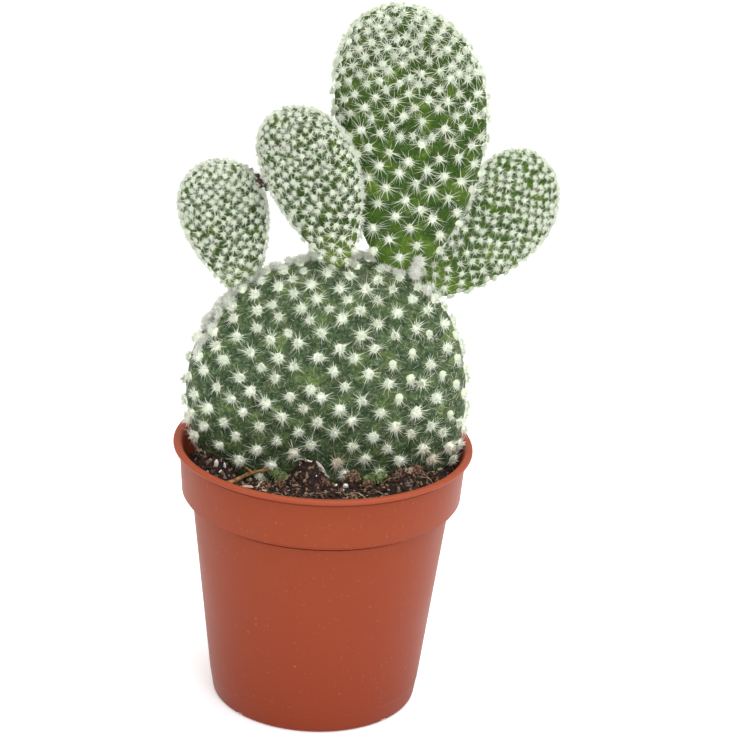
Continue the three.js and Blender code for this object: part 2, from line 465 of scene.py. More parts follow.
def spikes(root: Array, way: Array, length: Array, girth: Array, rng: Rng) -> Shape:
    """Slim closed three-sided spikes.

    Args:
        root: Middle of each spike's foot.
        way: Unit direction of each spike.
        length: Length of each spike.
        girth: Radius of each spike's foot.
        rng: Seeded random numbers.

    Returns:
        Points and triangles of all the spikes.
    """
    radius = (girth * rng.uniform(0.8, 1.2, len(root)))[:, None, None]
    foot = root[:, None] + radius * ring_around(way, 3)
    tip = (root + way * length[:, None])[:, None]
    triangles = np.array([[0, 1, 3], [1, 2, 3], [2, 0, 3], [0, 2, 1]])
    return join_copies(np.concatenate([foot, tip], 1), triangles)


@dataclass(frozen=True)
class SkinFinish:
    """Living cactus skin: thin green rind under a dull wax film with a faint down.

    The wax gives a soft wide gloss, and the down greys the green where the skin turns away.
    Scales are in millimetres.
    """

    name: str
    deep: str
    fresh: str
    pale: str
    # Colour towards the pad's foot: the young pads' own yellower base, and on the old skin a lighter
    # green that is painted light.
    foot: str
    foot_reach: float = 0.3
    foot_strength: float = 0.85
    blush: str = "#6f8a35"
    blush_share: float = 0.3
    blush_size: float = 6.5
    mottle_size: float = 4.5
    grain_size: float = 0.9
    grain_depth: float = 0.2
    speck_size: float = 0.8
    speck_share: float = 0.35
    halo: str = "#7f8a55"
    halo_strength: float = 0.22
    scab: str = "#776b49"
    scab_share: float = 0.0
    scab_size: float = 7.0
    down: float = 0.04

    def material(self) -> bpy.types.Material:
        """Builds the skin's node material.

        Returns:
            The new material.
        """
        share = self.blush_share
        noises = {
            "mottle": Noise(self.mottle_size, 5.0, 0.6),
            "flush": Noise(self.blush_size, 4.0, 0.62, 0.4),
            "grain": Noise(self.grain_size, 4.0, 0.7),
            "speck": Noise(self.speck_size, 3.0, 0.7),
        }
        layers = [
            Layer("mottle", 0.35, 0.68, self.fresh),
            Layer("flush", 0.6 - 0.2 * share, 0.74 - 0.1 * share, self.blush, most=0.85),
            Layer("grain", 0.36, 0.64, least=1 - 2 * self.grain_depth, most=1 + self.grain_depth),
            Layer("speck", 0.52, 0.7, self.pale, most=self.speck_share),
            Layer("areole_mm", 2.7, 1.2, self.halo, most=self.halo_strength, smooth=True),
            # Towards the foot, the skin takes the foot colour. On the old pad this is painted light on
            # its low part, which the pot's rim shades. On the young pads it is their own yellower base.
            Layer("level", self.foot_reach, 0.0, self.foot, most=self.foot_strength, smooth=True),
        ]
        if self.scab_share > 0:
            noises["scab"] = Noise(self.scab_size, 7.0, 0.72)
            layers.append(Layer("scab", 0.66 - 0.1 * self.scab_share, 0.76, self.scab, most=0.6))
        surface = {
            "IOR": 1.42,
            "Specular IOR Level": 0.2,
            "Sheen Weight": self.down,
            "Sheen Roughness": 0.45,
            "Sheen Tint": linear("#dfe8d2"),
        }
        gloss = Layer("mottle", 0.3, 0.7, least=0.5, most=0.68)
        attributes = ("areole_mm", "level")
        relief = Relief("grain", 0.5, 0.3)
        return layered_material(self.name, self.deep, noises, attributes, layers, gloss, relief, surface)


@dataclass(frozen=True)
class BristleFinish:
    """Glochids: hair-fine barbed bristles of dry cellulose, cream white and dull.

    Light passes through the dry hairs, so that a tuft looks bright on its shaded side too.
    """

    name: str = "glochid_bristles"
    tip: str = "#f1fae6"
    root: str = "#e5f0d2"
    aged: str = "#d3b198"

    def material(self) -> bpy.types.Material:
        """Builds the bristles' node material.

        Returns:
            The new material.
        """
        layers = [Layer("along", 0.0, 1.0, self.tip), Layer("age", 0.0, 1.0, self.aged)]
        surface = {
            "IOR": 1.5,
            "Sheen Weight": 0.2,
            "Subsurface Weight": 0.5,
            "Subsurface Radius": (1.0, 1.0, 1.0),
            "Subsurface Scale": 0.2 * MM,
        }
        return layered_material(self.name, self.root, {}, ("along", "age"), layers, 0.6, None, surface)


@dataclass(frozen=True)
class PotFinish:
    """Injection-moulded polypropylene, terracotta-coloured, with a satin surface.

    Satin moulding gives a broad soft gloss that greys the sides, and dust lies on it. The
    lip's top is painted paler, a painted highlight, and the pot is painted darker towards its
    foot, a painted shade.
    """

    name: str = "moulded_polypropylene"
    body: str = "#86371b"
    warm: str = "#8c3c1f"
    # Colour of the painted shade towards the pot's foot.
    low: str = "#7f3016"
    dust: str = "#b37257"
    # Colour of the lip's top, a painted highlight.
    rim: str = "#94442a"
    dust_size: float = 0.9

    def material(self) -> bpy.types.Material:
        """Builds the pot's node material.

        Returns:
            The new material.
        """
        noises = {
            "cloud": Noise(22.0, 4.0, 0.55),
            "dust": Noise(self.dust_size, 2.0, 0.6),
            "skin": Noise(0.35, 2.0),
        }
        layers = [
            Layer("cloud", 0.0, 1.0, self.warm),
            # Painted shade: the colour darkens towards the pot's foot.
            Layer("height", 64 * MM, 0.0, self.low, most=0.9),
            # Painted highlight: the lip's top is paler.
            Layer("height", 76.3 * MM, 76.9 * MM, self.rim),
            Layer("dust", 0.66, 0.78, self.dust, most=0.45),
        ]
        gloss = Layer("cloud", 0.3, 0.7, least=0.4, most=0.5)
        relief = Relief("skin", 0.12, 0.05)
        surface = {"IOR": 1.49, "Specular IOR Level": 0.16}
        return layered_material(self.name, self.body, noises, (), layers, gloss, relief, surface)


@dataclass(frozen=True)
class PeatFinish:
    """Crumbly peat: dark fibrous grains, damp enough to glint here and there."""

    name: str
    dark: str = "#150b08"
    brown: str = "#4e3022"
    light: str = "#b29a86"

    def material(self) -> bpy.types.Material:
        """Builds the peat's node material.

        Returns:
            The new material.
        """
        noises = {"lumps": Noise(1.1, 6.0, 0.75)}
        layers = [Layer("lumps", 0.38, 0.68, self.brown), Layer("kind", 0.66, 1.0, self.light, most=0.9)]
        gloss = Layer("lumps", 0.35, 0.6, least=0.45, most=0.95)
        relief = Relief("lumps", 0.8, 0.4)
        surface = {"IOR": 1.4}
        return layered_material(self.name, self.dark, noises, ("kind",), layers, gloss, relief, surface)


@dataclass(frozen=True)
class GrainFinish:
    """Dull natural bits such as perlite, wood fibre or moss, in two close tones."""

    name: str
    dark: str
    light: str
    tone_size: float
    roughness: float = 0.85

    def material(self) -> bpy.types.Material:
        """Builds the bit's node material.

        Returns:
            The new material.
        """
        noises = {"tone": Noise(self.tone_size, 4.0)}
        layers = [Layer("tone", 0.35, 0.65, self.light)]
        relief = Relief("tone", 0.5, 0.15)
        return layered_material(self.name, self.dark, noises, (), layers, self.roughness, relief, {})


@dataclass(frozen=True)
class Tuft:
    """Sizes of one areole's tuft: a woolly cushion with short and long bristles.

    A real bristle is about 0.05 mm thick. It is drawn about four times as thick at its root,
    so that it shows. Worn shares scale a worn tuft's cushion, short and long bristles.
    """

    cushion: float = 1.04
    short: int = 38
    long: int = 24
    short_length: float = 1.4
    long_length: float = 4.7
    short_thickness: float = 0.13
    long_thickness: float = 0.085
    squash: float = 0.8
    raised: float = 0.25
    worn_shares: tuple[float, float, float] = (0.85, 0.4, 0.7)
    short_angle: float = 80.0
    long_angles: Span = (52.0, 85.0)
    short_share: Span = (0.6, 1.2)
    long_share: Span = (0.35, 1.0)


def is_clear(points: Array, pads: list["Pad"], soil: "Soil", gap: float) -> Array:
    """Whether points are out of the soil and of pads that are grown by a gap.

    Args:
        points: Points in the plant's frame, in the last axis.
        pads: Pads that the points stay clear of.
        soil: Soil that they stay clear of.
        gap: Distance from the pads.

    Returns:
        One truth value for each point.
    """
    taken = soil.buries(points)
    for pad in pads:
        taken |= pad.holds(points, gap)
    return ~taken


@dataclass(frozen=True)
class Pad:
    """One cactus pad: a flattened egg with its areoles and bristle tufts.

    A direction (x, y, z) of the unit sphere maps to the skin. With the breadth
    b = (1 + taper z) / greatest, where greatest is the largest sqrt(1 - z^2) (1 + taper z),
    and the rise r = (1 + z) / 2, the point is width / 2 |x|^squareness b + bow 4 r (1 - r)
    across, thickness / 2 |y|^bluntness b through and length r along the pad. Then it is
    turned by yaw about the pad's axis, by lean and by tilt, and set on its joint.
    """

    name: str
    joint: tuple[float, float, float]
    tilt: float
    lean: float
    yaw: float
    length: float
    width: float
    thickness: float
    taper: float
    bow: float
    areoles: int
    crowding: float
    finish: SkinFinish
    tuft: Tuft
    rings: int
    columns: int
    seed: int
    squareness: float = 1.0
    bluntness: float = 0.8
    crowding_power: float = 1.5
    edge_crowding: float = 0.3
    unevenness: float = 0.3
    ageing: float = 0.12
    stain: float = 1.1
    stain_reach: float = 20.0
    worn: tuple[float, float, float] = (0.0, 0.0, 0.0)
    worn_share: float = 0.7
    size_span: Span = (0.8, 1.15)
    foot_size: float = 1.13
    tip_shrink: float = 0.36
    reach_span: Span = (0.75, 1.15)
    strays: int = 60
    stray_length: Span = (1.2, 3.4)
    stray_girth: Span = (0.04, 0.07)
    stray_lift: float = 0.12
    mound: float = 0.3
    mound_reach: float = 1.3
    ripple: float = 0.08
    ripple_length: float = 5.0

    def turn(self) -> Array:
        """Rotation of the pad from its own axes into the plant's.

        Returns:
            Rotation matrix.
        """
        tilt = Matrix.Rotation(math.radians(self.tilt), 3, "Y")
        lean = Matrix.Rotation(math.radians(self.lean), 3, "X")
        yaw = Matrix.Rotation(math.radians(self.yaw), 3, "Z")
        return np.array(tilt @ lean @ yaw)

    def breadth(self, level: Array) -> Array:
        """Breadth at levels from -1 at the foot to 1 at the tip, without the rounding.

        Args:
            level: Levels along the pad.

        Returns:
            Share of the greatest breadth at each level.
        """
        widest = (math.sqrt(1 + 8 * self.taper**2) - 1) / (4 * self.taper)
        greatest = math.sqrt(1 - widest**2) * (1 + self.taper * widest)
        return (1 + self.taper * level) / greatest

    def skin(self, directions: Array, grow: float = 0.0) -> Array:
        """Points of the skin, by the formula in the class's description.

        Args:
            directions: Unit directions, in the last axis.
            grow: Distance by which the pad is grown outwards.

        Returns:
            Points in the plant's frame, in the same layout.
        """
        x, y, z = np.moveaxis(directions, -1, 0)
        breadth = self.breadth(z)
        rise = (1 + z) / 2
        across = (self.width / 2 + grow) * np.sign(x) * np.abs(x) ** self.squareness * breadth
        through = (self.thickness / 2 + grow) * np.sign(y) * np.abs(y) ** self.bluntness * breadth
        along = (self.length + 2 * grow) * rise - grow
        own = np.stack([across + self.bow * 4 * rise * (1 - rise), through, along], -1)
        return own @ self.turn().T + np.array(self.joint)

    def holds(self, points: Array, grow: float) -> Array:
        """Whether points lie in the pad grown outwards, by the formula solved backwards.

        Args:
            points: Points in the plant's frame, in the last axis.
            grow: Distance by which the pad is grown.

        Returns:
            One truth value for each point.
        """
        own = (points - np.array(self.joint)) @ self.turn()
        z = np.clip(2 * (own[..., 2] + grow) / (self.length + 2 * grow) - 1, -1, 1)
        rise = (1 + z) / 2
        breadth = self.breadth(z)
        across = np.abs(own[..., 0] - self.bow * 4 * rise * (1 - rise)) / breadth
        through = np.abs(own[..., 1]) / breadth
        x = (across / (self.width / 2 + grow)) ** (1 / self.squareness)
        y = (through / (self.thickness / 2 + grow)) ** (1 / self.bluntness)
        return x * x + y * y + z * z < 1

    def normals(self, directions: Array) -> Array:
        """Outward normals of the skin, from the slopes along two sideways steps.

        Args:
            directions: Unit directions, one a row.

        Returns:
            Unit normals, one a row.
        """
        step = 1e-3
        east, north = side_frames(directions)
        slopes = (
            self.skin(unit(directions + way * step)) - self.skin(unit(directions - way * step))
            for way in (east, north)
        )
        return unit(np.cross(*slopes))

    def areole_directions(self) -> Array:
        """Directions of the areoles, on one spiral with a golden turn between neighbours.

        The skin is cut into rows and columns of patches. Running totals of patch area,
        weighted by the crowding, give the level of each areole, and totals along its row
        give its place around the pad. With the rise r, crowding grows the number of areoles
        to a length by 1 + (crowding - 1) r^power, and to an area at the pad's edges by
        1 + edge_crowding cos(turn)^6. Each areole is then moved a little at random.

        Returns:
            Unit directions, one a row.
        """
        rows = columns = 96
        level = np.linspace(-1, 1, rows + 1)[:, None]
        angle = np.linspace(0, 2 * math.pi, columns + 1)[None, :]
        rounding = np.sqrt(np.maximum(1 - level**2, 0))
        grid = np.stack([rounding * np.cos(angle), rounding * np.sin(angle), level + 0 * angle], -1)
        corners = self.skin(grid)
        one = corners[1:, 1:] - corners[:-1, :-1]
        other = corners[1:, :-1] - corners[:-1, 1:]
        area = np.linalg.norm(np.cross(one, other), axis=-1) / 2
        area *= 1 + self.edge_crowding * np.cos((angle[:, 1:] + angle[:, :-1]) / 2) ** 6
        middle = (level[1:, 0] + level[:-1, 0]) / 2
        nearness = 1 + (self.crowding - 1) * ((middle + 1) / 2) ** self.crowding_power
        upward = np.concatenate([[0], np.cumsum(area.sum(1) * nearness**2)])
        number = np.arange(self.areoles)
        share = (number + 0.5) / self.areoles
        place = np.interp(share * upward[-1], upward, np.linspace(0, 1, rows + 1))
        row = np.minimum((place * rows).astype(int), rows - 1)
        around = np.hstack([np.zeros((rows, 1)), np.cumsum(area, 1)])[row]
        wanted = ((number * GOLDEN_TURN) % 1)[:, None] * around[:, -1:]
        low = np.clip((around < wanted).sum(1) - 1, 0, columns - 1)
        start = np.take_along_axis(around, low[:, None], 1)[:, 0]
        stop = np.take_along_axis(around, low[:, None] + 1, 1)[:, 0]
        turn = 2 * math.pi * (low + (wanted[:, 0] - start) / (stop - start)) / columns
        height = 2 * place - 1
        ring = np.sqrt(1 - height**2)
        even = np.stack([ring * np.cos(turn), ring * np.sin(turn), height], -1)
        rng = np.random.default_rng(self.seed)
        return unit(even + rng.normal(size=even.shape) * self.unevenness / math.sqrt(self.areoles))

    def build_skin(self) -> None:
        """Builds the pad's skin, with a low mound under each areole.

        A mound's height falls off with the distance d as exp(-(d / reach)^2), and the skin
        between the areoles waves by a few hundredths of a millimetre.
        """
        directions = sphere_directions(self.rings, self.columns)
        base = self.skin(directions)
        feet = self.skin(self.areole_directions())
        # The distances are worked out in 16 parts, which keeps the memory they take small.
        parts = np.array_split(base, 16)
        distance = np.concatenate(
            [np.linalg.norm(part[:, None] - feet[None], axis=-1).min(1) for part in parts]
        )
        ripples = self.ripple * waves(base, self.ripple_length, 24, self.seed)
        lift = self.mound * np.exp(-((distance / self.mound_reach) ** 2)) + ripples
        points = base + self.normals(directions) * lift[:, None]
        values = {"areole_mm": distance, "level": (1 + directions[:, 2]) / 2}
        faces = closed_faces(self.rings, self.columns)
        skin = self.finish.material()
        piece = make_piece(f"{self.name}_skin", points, faces, skin, self.name, values)
        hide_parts(self.name)

    def build_tufts(self, others: list["Pad"], soil: "Soil", material: bpy.types.Material) -> None:
        """Builds the woolly cushions and the bristles of every areole as one piece.

        A bristle is a slim three-sided spike. It starts within the cushion and leaves it at
        an angle from the skin's normal, up to square with it for the long outer ones.

        Args:
            others: Pads that the bristles stay clear of.
            soil: Soil that the bristles stay clear of.
            material: Finish of the bristles and the cushions.
        """
        rng = np.random.default_rng(self.seed)
        directions = self.areole_directions()
        feet = self.skin(directions)
        free = is_clear(feet, others, soil, AREOLE_GAP)
        directions, feet = directions[free], feet[free]
        normals = self.normals(directions)
        count = len(feet)
        first, second = side_frames(normals)
        tuft = self.tuft
        level = (1 + directions[:, 2]) / 2
        size = rng.uniform(*self.size_span, count) * (self.foot_size - self.tip_shrink * level)
        age = self.tuft_age(feet, soil, rng)
        bare = self.bare_tufts(feet, rng)
        worn_cushion, worn_short, worn_long = tuft.worn_shares
        cushions = self.cushions(feet, normals, np.where(bare, worn_cushion * size, size), bare, rng)
        per_tuft = tuft.short + tuft.long
        owner = np.repeat(np.arange(count), per_tuft)
        is_long = np.tile(np.arange(per_tuft) >= tuft.short, count)
        total = len(owner)
        around = rng.uniform(0, 2 * math.pi, total)
        hanging = bare[owner] & is_long
        around = np.where(hanging, -math.pi / 2 + 0.5 * rng.normal(size=total), around)
        reach = rng.uniform(*self.reach_span, count)
        flat_out = rng.uniform(*tuft.long_angles, total)
        upright = tuft.short_angle * rng.uniform(0, 1, total) ** 0.6
        outwards = np.radians(np.where(is_long, flat_out, upright))
        long_length = tuft.long_length * rng.uniform(*tuft.long_share, total) * reach[owner]
        short_length = tuft.short_length * rng.uniform(*tuft.short_share, total)
        length = np.where(is_long, long_length, short_length * np.cos(outwards * 0.4))
        length *= size[owner] * np.where(bare[owner], np.where(is_long, worn_long, worn_short), 1.0)
        sideways = first[owner] * np.cos(around)[:, None] + second[owner] * np.sin(around)[:, None]
        way = normals[owner] * np.cos(outwards)[:, None] + sideways * np.sin(outwards)[:, None]
        spread = tuft.cushion * 0.7 * size[owner] * np.sin(outwards)
        raised = tuft.raised + 0.6 * tuft.cushion * np.cos(outwards) + 0.25 * rng.uniform(0, 1, total)
        root = feet[owner] + sideways * spread[:, None] + normals[owner] * raised[:, None]
        # A bristle that strikes the soil or another pad is shortened, up to four times.
        for _ in range(4):
            tip = root + way * length[:, None]
            length = np.where(is_clear(tip, others, soil, TIP_GAP), length, length * 0.6)
        girth = np.where(is_long, tuft.long_thickness, tuft.short_thickness)
        parts = (cushions, spikes(root, way, length, girth, rng), self.stray_hairs(others, soil, rng))
        starts = np.cumsum([0, *(len(points) for points, _ in parts)])
        points = np.vstack([points for points, _ in parts])
        faces = np.vstack([faces + start for (_, faces), start in zip(parts, starts)])
        per_cushion = len(cushions[0]) // count
        strays = len(parts[2][0])
        woolly = np.repeat(np.where(bare, 0.0, 1.0), per_cushion)
        along = [woolly, np.tile([0.4, 0.4, 0.4, 1.0], total), np.full(strays, 0.5)]
        ages = [np.repeat(age, per_cushion), np.repeat(age[owner], 4), np.full(strays, 0.3)]
        values = {"along": np.concatenate(along), "age": np.concatenate(ages)}
        make_piece(f"{self.name}_tufts", points, faces, material, self.name, values)

    def stray_hairs(self, others: list["Pad"], soil: "Soil", rng: Rng) -> Shape:
        """Fallen hairs that lie on the skin every way, half of them in the worn place.

        Args:
            others: Pads that the hairs stay clear of.
            soil: Soil that the hairs stay clear of.
            rng: Seeded random numbers.

        Returns:
            Points and triangles of the hairs.
        """
        directions = unit(rng.normal(size=(self.strays * 8, 3)))
        feet = self.skin(directions)
        free = is_clear(feet, others, soil, STRAY_GAP)
        directions, feet = directions[free], feet[free]
        half = self.strays // 2
        worn = self.is_worn(feet)
        chosen = (np.arange(len(feet)) < half) | (worn & (np.cumsum(worn) < half))
        directions, feet = directions[chosen], feet[chosen]
        normals = self.normals(directions)
        lift = self.stray_lift * normals
        ways = unit(np.cross(normals, rng.normal(size=normals.shape)) + lift)
        length = rng.uniform(*self.stray_length, len(feet))
        return spikes(feet + lift, ways, length, rng.uniform(*self.stray_girth, len(feet)), rng)

    def is_worn(self, feet: Array) -> Array:
        """Whether places lie in the worn round area at the front: across, up and radius.

        Args:
            feet: Places of the areoles.

        Returns:
            One truth value for each place.
        """
        across, up, reach = self.worn
        near = np.hypot(feet[:, 0] - across, feet[:, 2] - up) < reach
        return near & (feet[:, 1] < 0)

    def bare_tufts(self, feet: Array, rng: Rng) -> Array:
        """Which tufts are worn: a share of those in the worn place."""
        return rng.uniform(0, 1, len(feet)) < self.worn_share * self.is_worn(feet)

    def tuft_age(self, feet: Array, soil: "Soil", rng: Rng) -> Array:
        """Browning of each tuft, from 0 for cream to 1 for the oldest, near the soil.

        Args:
            feet: Places of the areoles.
            soil: Soil that stains the lowest tufts.
            rng: Seeded random numbers.

        Returns:
            One age for each areole.
        """
        low = np.clip(1 - (feet[:, 2] - soil.level) / self.stain_reach, 0, 1)
        stain = self.stain * low * rng.uniform(0.0, 1.0, len(feet)) ** 3
        return np.clip(stain + self.ageing * rng.uniform(0, 1, len(feet)) ** 2, 0, 0.85)

    def cushions(self, feet: Array, normals: Array, size: Array, bare: Array, rng: Rng) -> Shape:
        """Woolly cushions: low domes whose surface is roughened at random.

        A worn cushion is a drop: its lower points move down by the cube of how low they are.

        Args:
            feet: Places of the areoles.
            normals: Outward normals there.
            size: Scale of each tuft.
            bare: Whether each tuft is worn.
            rng: Seeded random numbers.

        Returns:
            Points and triangles of all the cushions.
        """
        first, second = side_frames(normals)
        lump, triangles = ball(4, 8)
        rough = rng.uniform(0.72, 1.28, (len(feet), len(lump), 1))
        shape = lump[None] * np.where(bare[:, None, None], 1 + 0.35 * (rough - 1), rough)
        shape[..., 1] -= np.where(bare[:, None], np.maximum(-lump[:, 1], 0) ** 3 * 0.9, 0)
        scaled = shape * (self.tuft.cushion * size)[:, None, None]
        points = (
            feet[:, None]
            + scaled[..., 0:1] * first[:, None]
            + scaled[..., 1:2] * second[:, None]
            + (scaled[..., 2:3] * self.tuft.squash + self.tuft.raised) * normals[:, None]
        )
        return join_copies(points, triangles)


@dataclass(frozen=True)
class Pot:
    """Nursery pot: a tapered cup with an outstanding band, a rolled lip and a foot ring.

    Thin grooves under the band and under the lip show as dark lines.
    """

    height: float = 77.5
    lip_radius: float = 42.5
    lip_depth: float = 1.35
    lip_inner: float = 40.5
    band_top: float = 40.7
    band_foot: float = 39.75
    band_height: float = 63.4
    neck: float = 0.6
    shoulder_radius: float = 36.9
    shoulder_height: float = 61.6
    foot_radius: float = 29.6
    step_height: float = 6.0
    step: float = 0.12
    wall: float = 1.1
    floor: float = 2.6
    channel_height: float = 1.6
    channel_inner: float = 11.0
    channel_outer: float = 24.0
    boss_radius: float = 9.5
    ring_inner: float = 25.5
    drain_circle: float = 17.5
    drain_radius: float = 3.0
    drain_holes: int = 6
    slots: int = 4
    slot_width: float = 2.8
    slot_height: float = 0.9
    slot_inner: float = 5.5
    slot_outer: float = 2.5
    groove_edge: float = 0.06
    band_groove: Span = (0.34, 0.62)
    lip_groove: Span = (0.13, 0.4)
    columns: int = 192
    sharp_angle: float = 40.0
    finish: PotFinish = PotFinish()

    def inside(self) -> Corners:
        """Inner profile from the floor's centre to the lip: radius, height and rounding."""
        slope = (self.shoulder_radius - self.foot_radius) / self.shoulder_height
        return [
            (0.0, self.floor, 0.0),
            (self.foot_radius + slope * self.floor - self.wall, self.floor, 1.2),
            (self.shoulder_radius - self.wall, self.shoulder_height + 0.1, 0.8),
            (self.band_foot - self.neck - self.wall, self.band_height - 0.4, 0.8),
            (self.band_top - self.wall, self.height - self.lip_depth - 0.2, 0.8),
        ]

    def groove(self, radius: float, height: float, depth: float, width: float) -> Corners:
        """Profile corners of a thin groove, which shows as a dark line under an overhang.

        Args:
            radius: Wall's radius at the groove.
            height: Height of the groove's lower edge.
            depth: Depth of the groove in the wall.
            width: Height of the groove's opening.

        Returns:
            Radius, height and rounding of each corner.
        """
        deep, high = radius - depth, height + width
        corners = ((radius, height), (deep, height), (deep, high), (radius, high))
        return [(*corner, self.groove_edge) for corner in corners]

    def outside(self) -> Corners:
        """Outer profile from the underside's centre to the lip.

        Returns:
            Radius, height and rounding of each corner.
        """
        slope = (self.shoulder_radius - self.foot_radius) * self.step_height / self.shoulder_height
        low = self.foot_radius + slope
        under = self.height - self.lip_depth
        return [
            (0.0, 0.0, 0.0),
            (self.boss_radius, 0.0, 0.3),
            (self.channel_inner, self.channel_height, 0.3),
            (self.channel_outer, self.channel_height, 0.3),
            (self.ring_inner, 0.0, 0.3),
            (self.foot_radius - 0.2, 0.0, 1.1),
            (low, self.step_height - 0.35, 0.15),
            (low + self.step, self.step_height, 0.15),
            *self.groove(self.shoulder_radius - 0.14, self.shoulder_height - 1.3, *self.band_groove),
            (self.shoulder_radius, self.shoulder_height, 0.1),
            (self.band_foot - self.neck, self.shoulder_height + 0.1, 0.1),
            (self.band_foot - self.neck, self.band_height - 0.9, 0.1),
            (self.band_foot, self.band_height - 0.9, 0.25),
            *self.groove(self.band_top - 0.06, under - 1.0, *self.lip_groove),
            (self.band_top, under, 0.25),
            (self.lip_radius - 0.05, under + 0.05, 0.6),
            (self.lip_radius, self.height, 0.7),
            (self.lip_inner - 0.1, self.height, 0.75),
        ]

    def rounded(self, corners: Corners) -> Array:
        """Profile with each corner rounded by a short curve.

        The curve is the parabola (1 - t)^2 a + 2 t (1 - t) c + t^2 b, where c is the corner,
        and a and b lie on its two sides at the rounding's distance.

        Args:
            corners: Radius, height and rounding of each corner, in order.

        Returns:
            Radius and height of each point.
        """
        place = np.array(corners)[:, :2]
        size = np.array(corners)[:, 2]
        t = np.linspace(0, 1, 6)[:, None]
        stretches = [place[:1]]
        for i in range(1, len(place) - 1):
            before = unit(place[i - 1] - place[i]) * size[i]
            after = unit(place[i + 1] - place[i]) * size[i]
            start, corner, stop = place[i] + before, place[i], place[i] + after
            stretches.append((1 - t) ** 2 * start + 2 * t * (1 - t) * corner + t**2 * stop)
        stretches.append(place[-1:])
        return np.vstack(stretches)

    def build(self) -> None:
        """Builds the pot by turning its closed profile and cutting its drains."""
        profile = self.rounded(self.outside() + self.inside()[::-1])
        radius, height = profile[1:-1, :1], profile[1:-1, 1:]
        turn = 2 * math.pi * np.arange(self.columns) / self.columns
        points = np.dstack([radius * np.cos(turn), radius * np.sin(turn), height + 0 * turn])
        low, high = [[0, 0, profile[0, 1]]], [[0, 0, profile[-1, 1]]]
        points = np.vstack([low, points.reshape(-1, 3), high])
        faces = closed_faces(len(radius), self.columns)
        piece = make_piece("pot_shell", points, faces, self.finish.material(), "pot")
        self.cut(piece, self.drain_cutters())
        piece.data.polygons.foreach_set("use_smooth", np.full(len(piece.data.polygons), True))
        piece.data.set_sharp_from_angle(angle=math.radians(self.sharp_angle))
        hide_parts("pot")

    def drain_cutters(self) -> list[Solid]:
        """Prisms for the round drain holes and the square drain slots.

        Returns:
            Points and faces of each prism.
        """
        cutters = []
        for i in range(self.drain_holes):
            angle = (i + 0.5) * 2 * math.pi / self.drain_holes
            centre = self.drain_circle * np.array([math.cos(angle), math.sin(angle)])
            turn = 2 * math.pi * np.arange(32) / 32
            outline = centre + self.drain_radius * np.stack([np.cos(turn), np.sin(turn)], -1)
            cutters.append(self.prism(outline, -1.0, self.floor + 1.0))
        for i in range(self.slots):
            angle = (i + 0.5) * 2 * math.pi / self.slots
            out = np.array([math.cos(angle), math.sin(angle)])
            side = np.array([-out[1], out[0]]) * self.slot_width / 2
            near = out * (self.foot_radius - self.slot_inner)
            far = out * (self.foot_radius + self.slot_outer)
            outline = np.array([near - side, far - side, far + side, near + side])
            cutters.append(self.prism(outline, -1.0, self.slot_height))
        return cutters

    def prism(self, outline: Array, low: float, high: float) -> Solid:
        """Upright prism over an outline that turns anticlockwise.

        Args:
            outline: Points of the outline, one a row.
            low: Height of its foot.
            high: Height of its top.

        Returns:
            Points and faces, turning outwards.
        """
        count = len(outline)
        points = np.vstack([np.hstack([outline, np.full((count, 1), z)]) for z in (low, high)])
        ring = np.arange(count)
        turned = np.roll(ring, -1)
        sides = np.stack([ring, turned, turned + count, ring + count], -1).tolist()
        return points, [*sides, ring[::-1].tolist(), (ring + count).tolist()]

    def cut(self, piece: bpy.types.Object, cutters: list[Solid]) -> None:
        """Cuts prisms out of a piece and keeps the result as its mesh.

        Args:
            piece: Object that is cut.
            cutters: Points and faces of each prism.
        """
        tools = []
        for points, faces in cutters:
            tool = mesh_object("cutter", points, faces)
            step = piece.modifiers.new("drain", "BOOLEAN")
            step.operation = "DIFFERENCE"
            step.object = tool
            step.solver = "EXACT"
            tools.append(tool)
        bpy.context.view_layer.update()
        ready = piece.evaluated_get(bpy.context.evaluated_depsgraph_get())
        made = bpy.data.meshes.new_from_object(ready)
        piece.modifiers.clear()
        piece.data = made
        for tool in tools:
            bpy.data.objects.remove(tool)


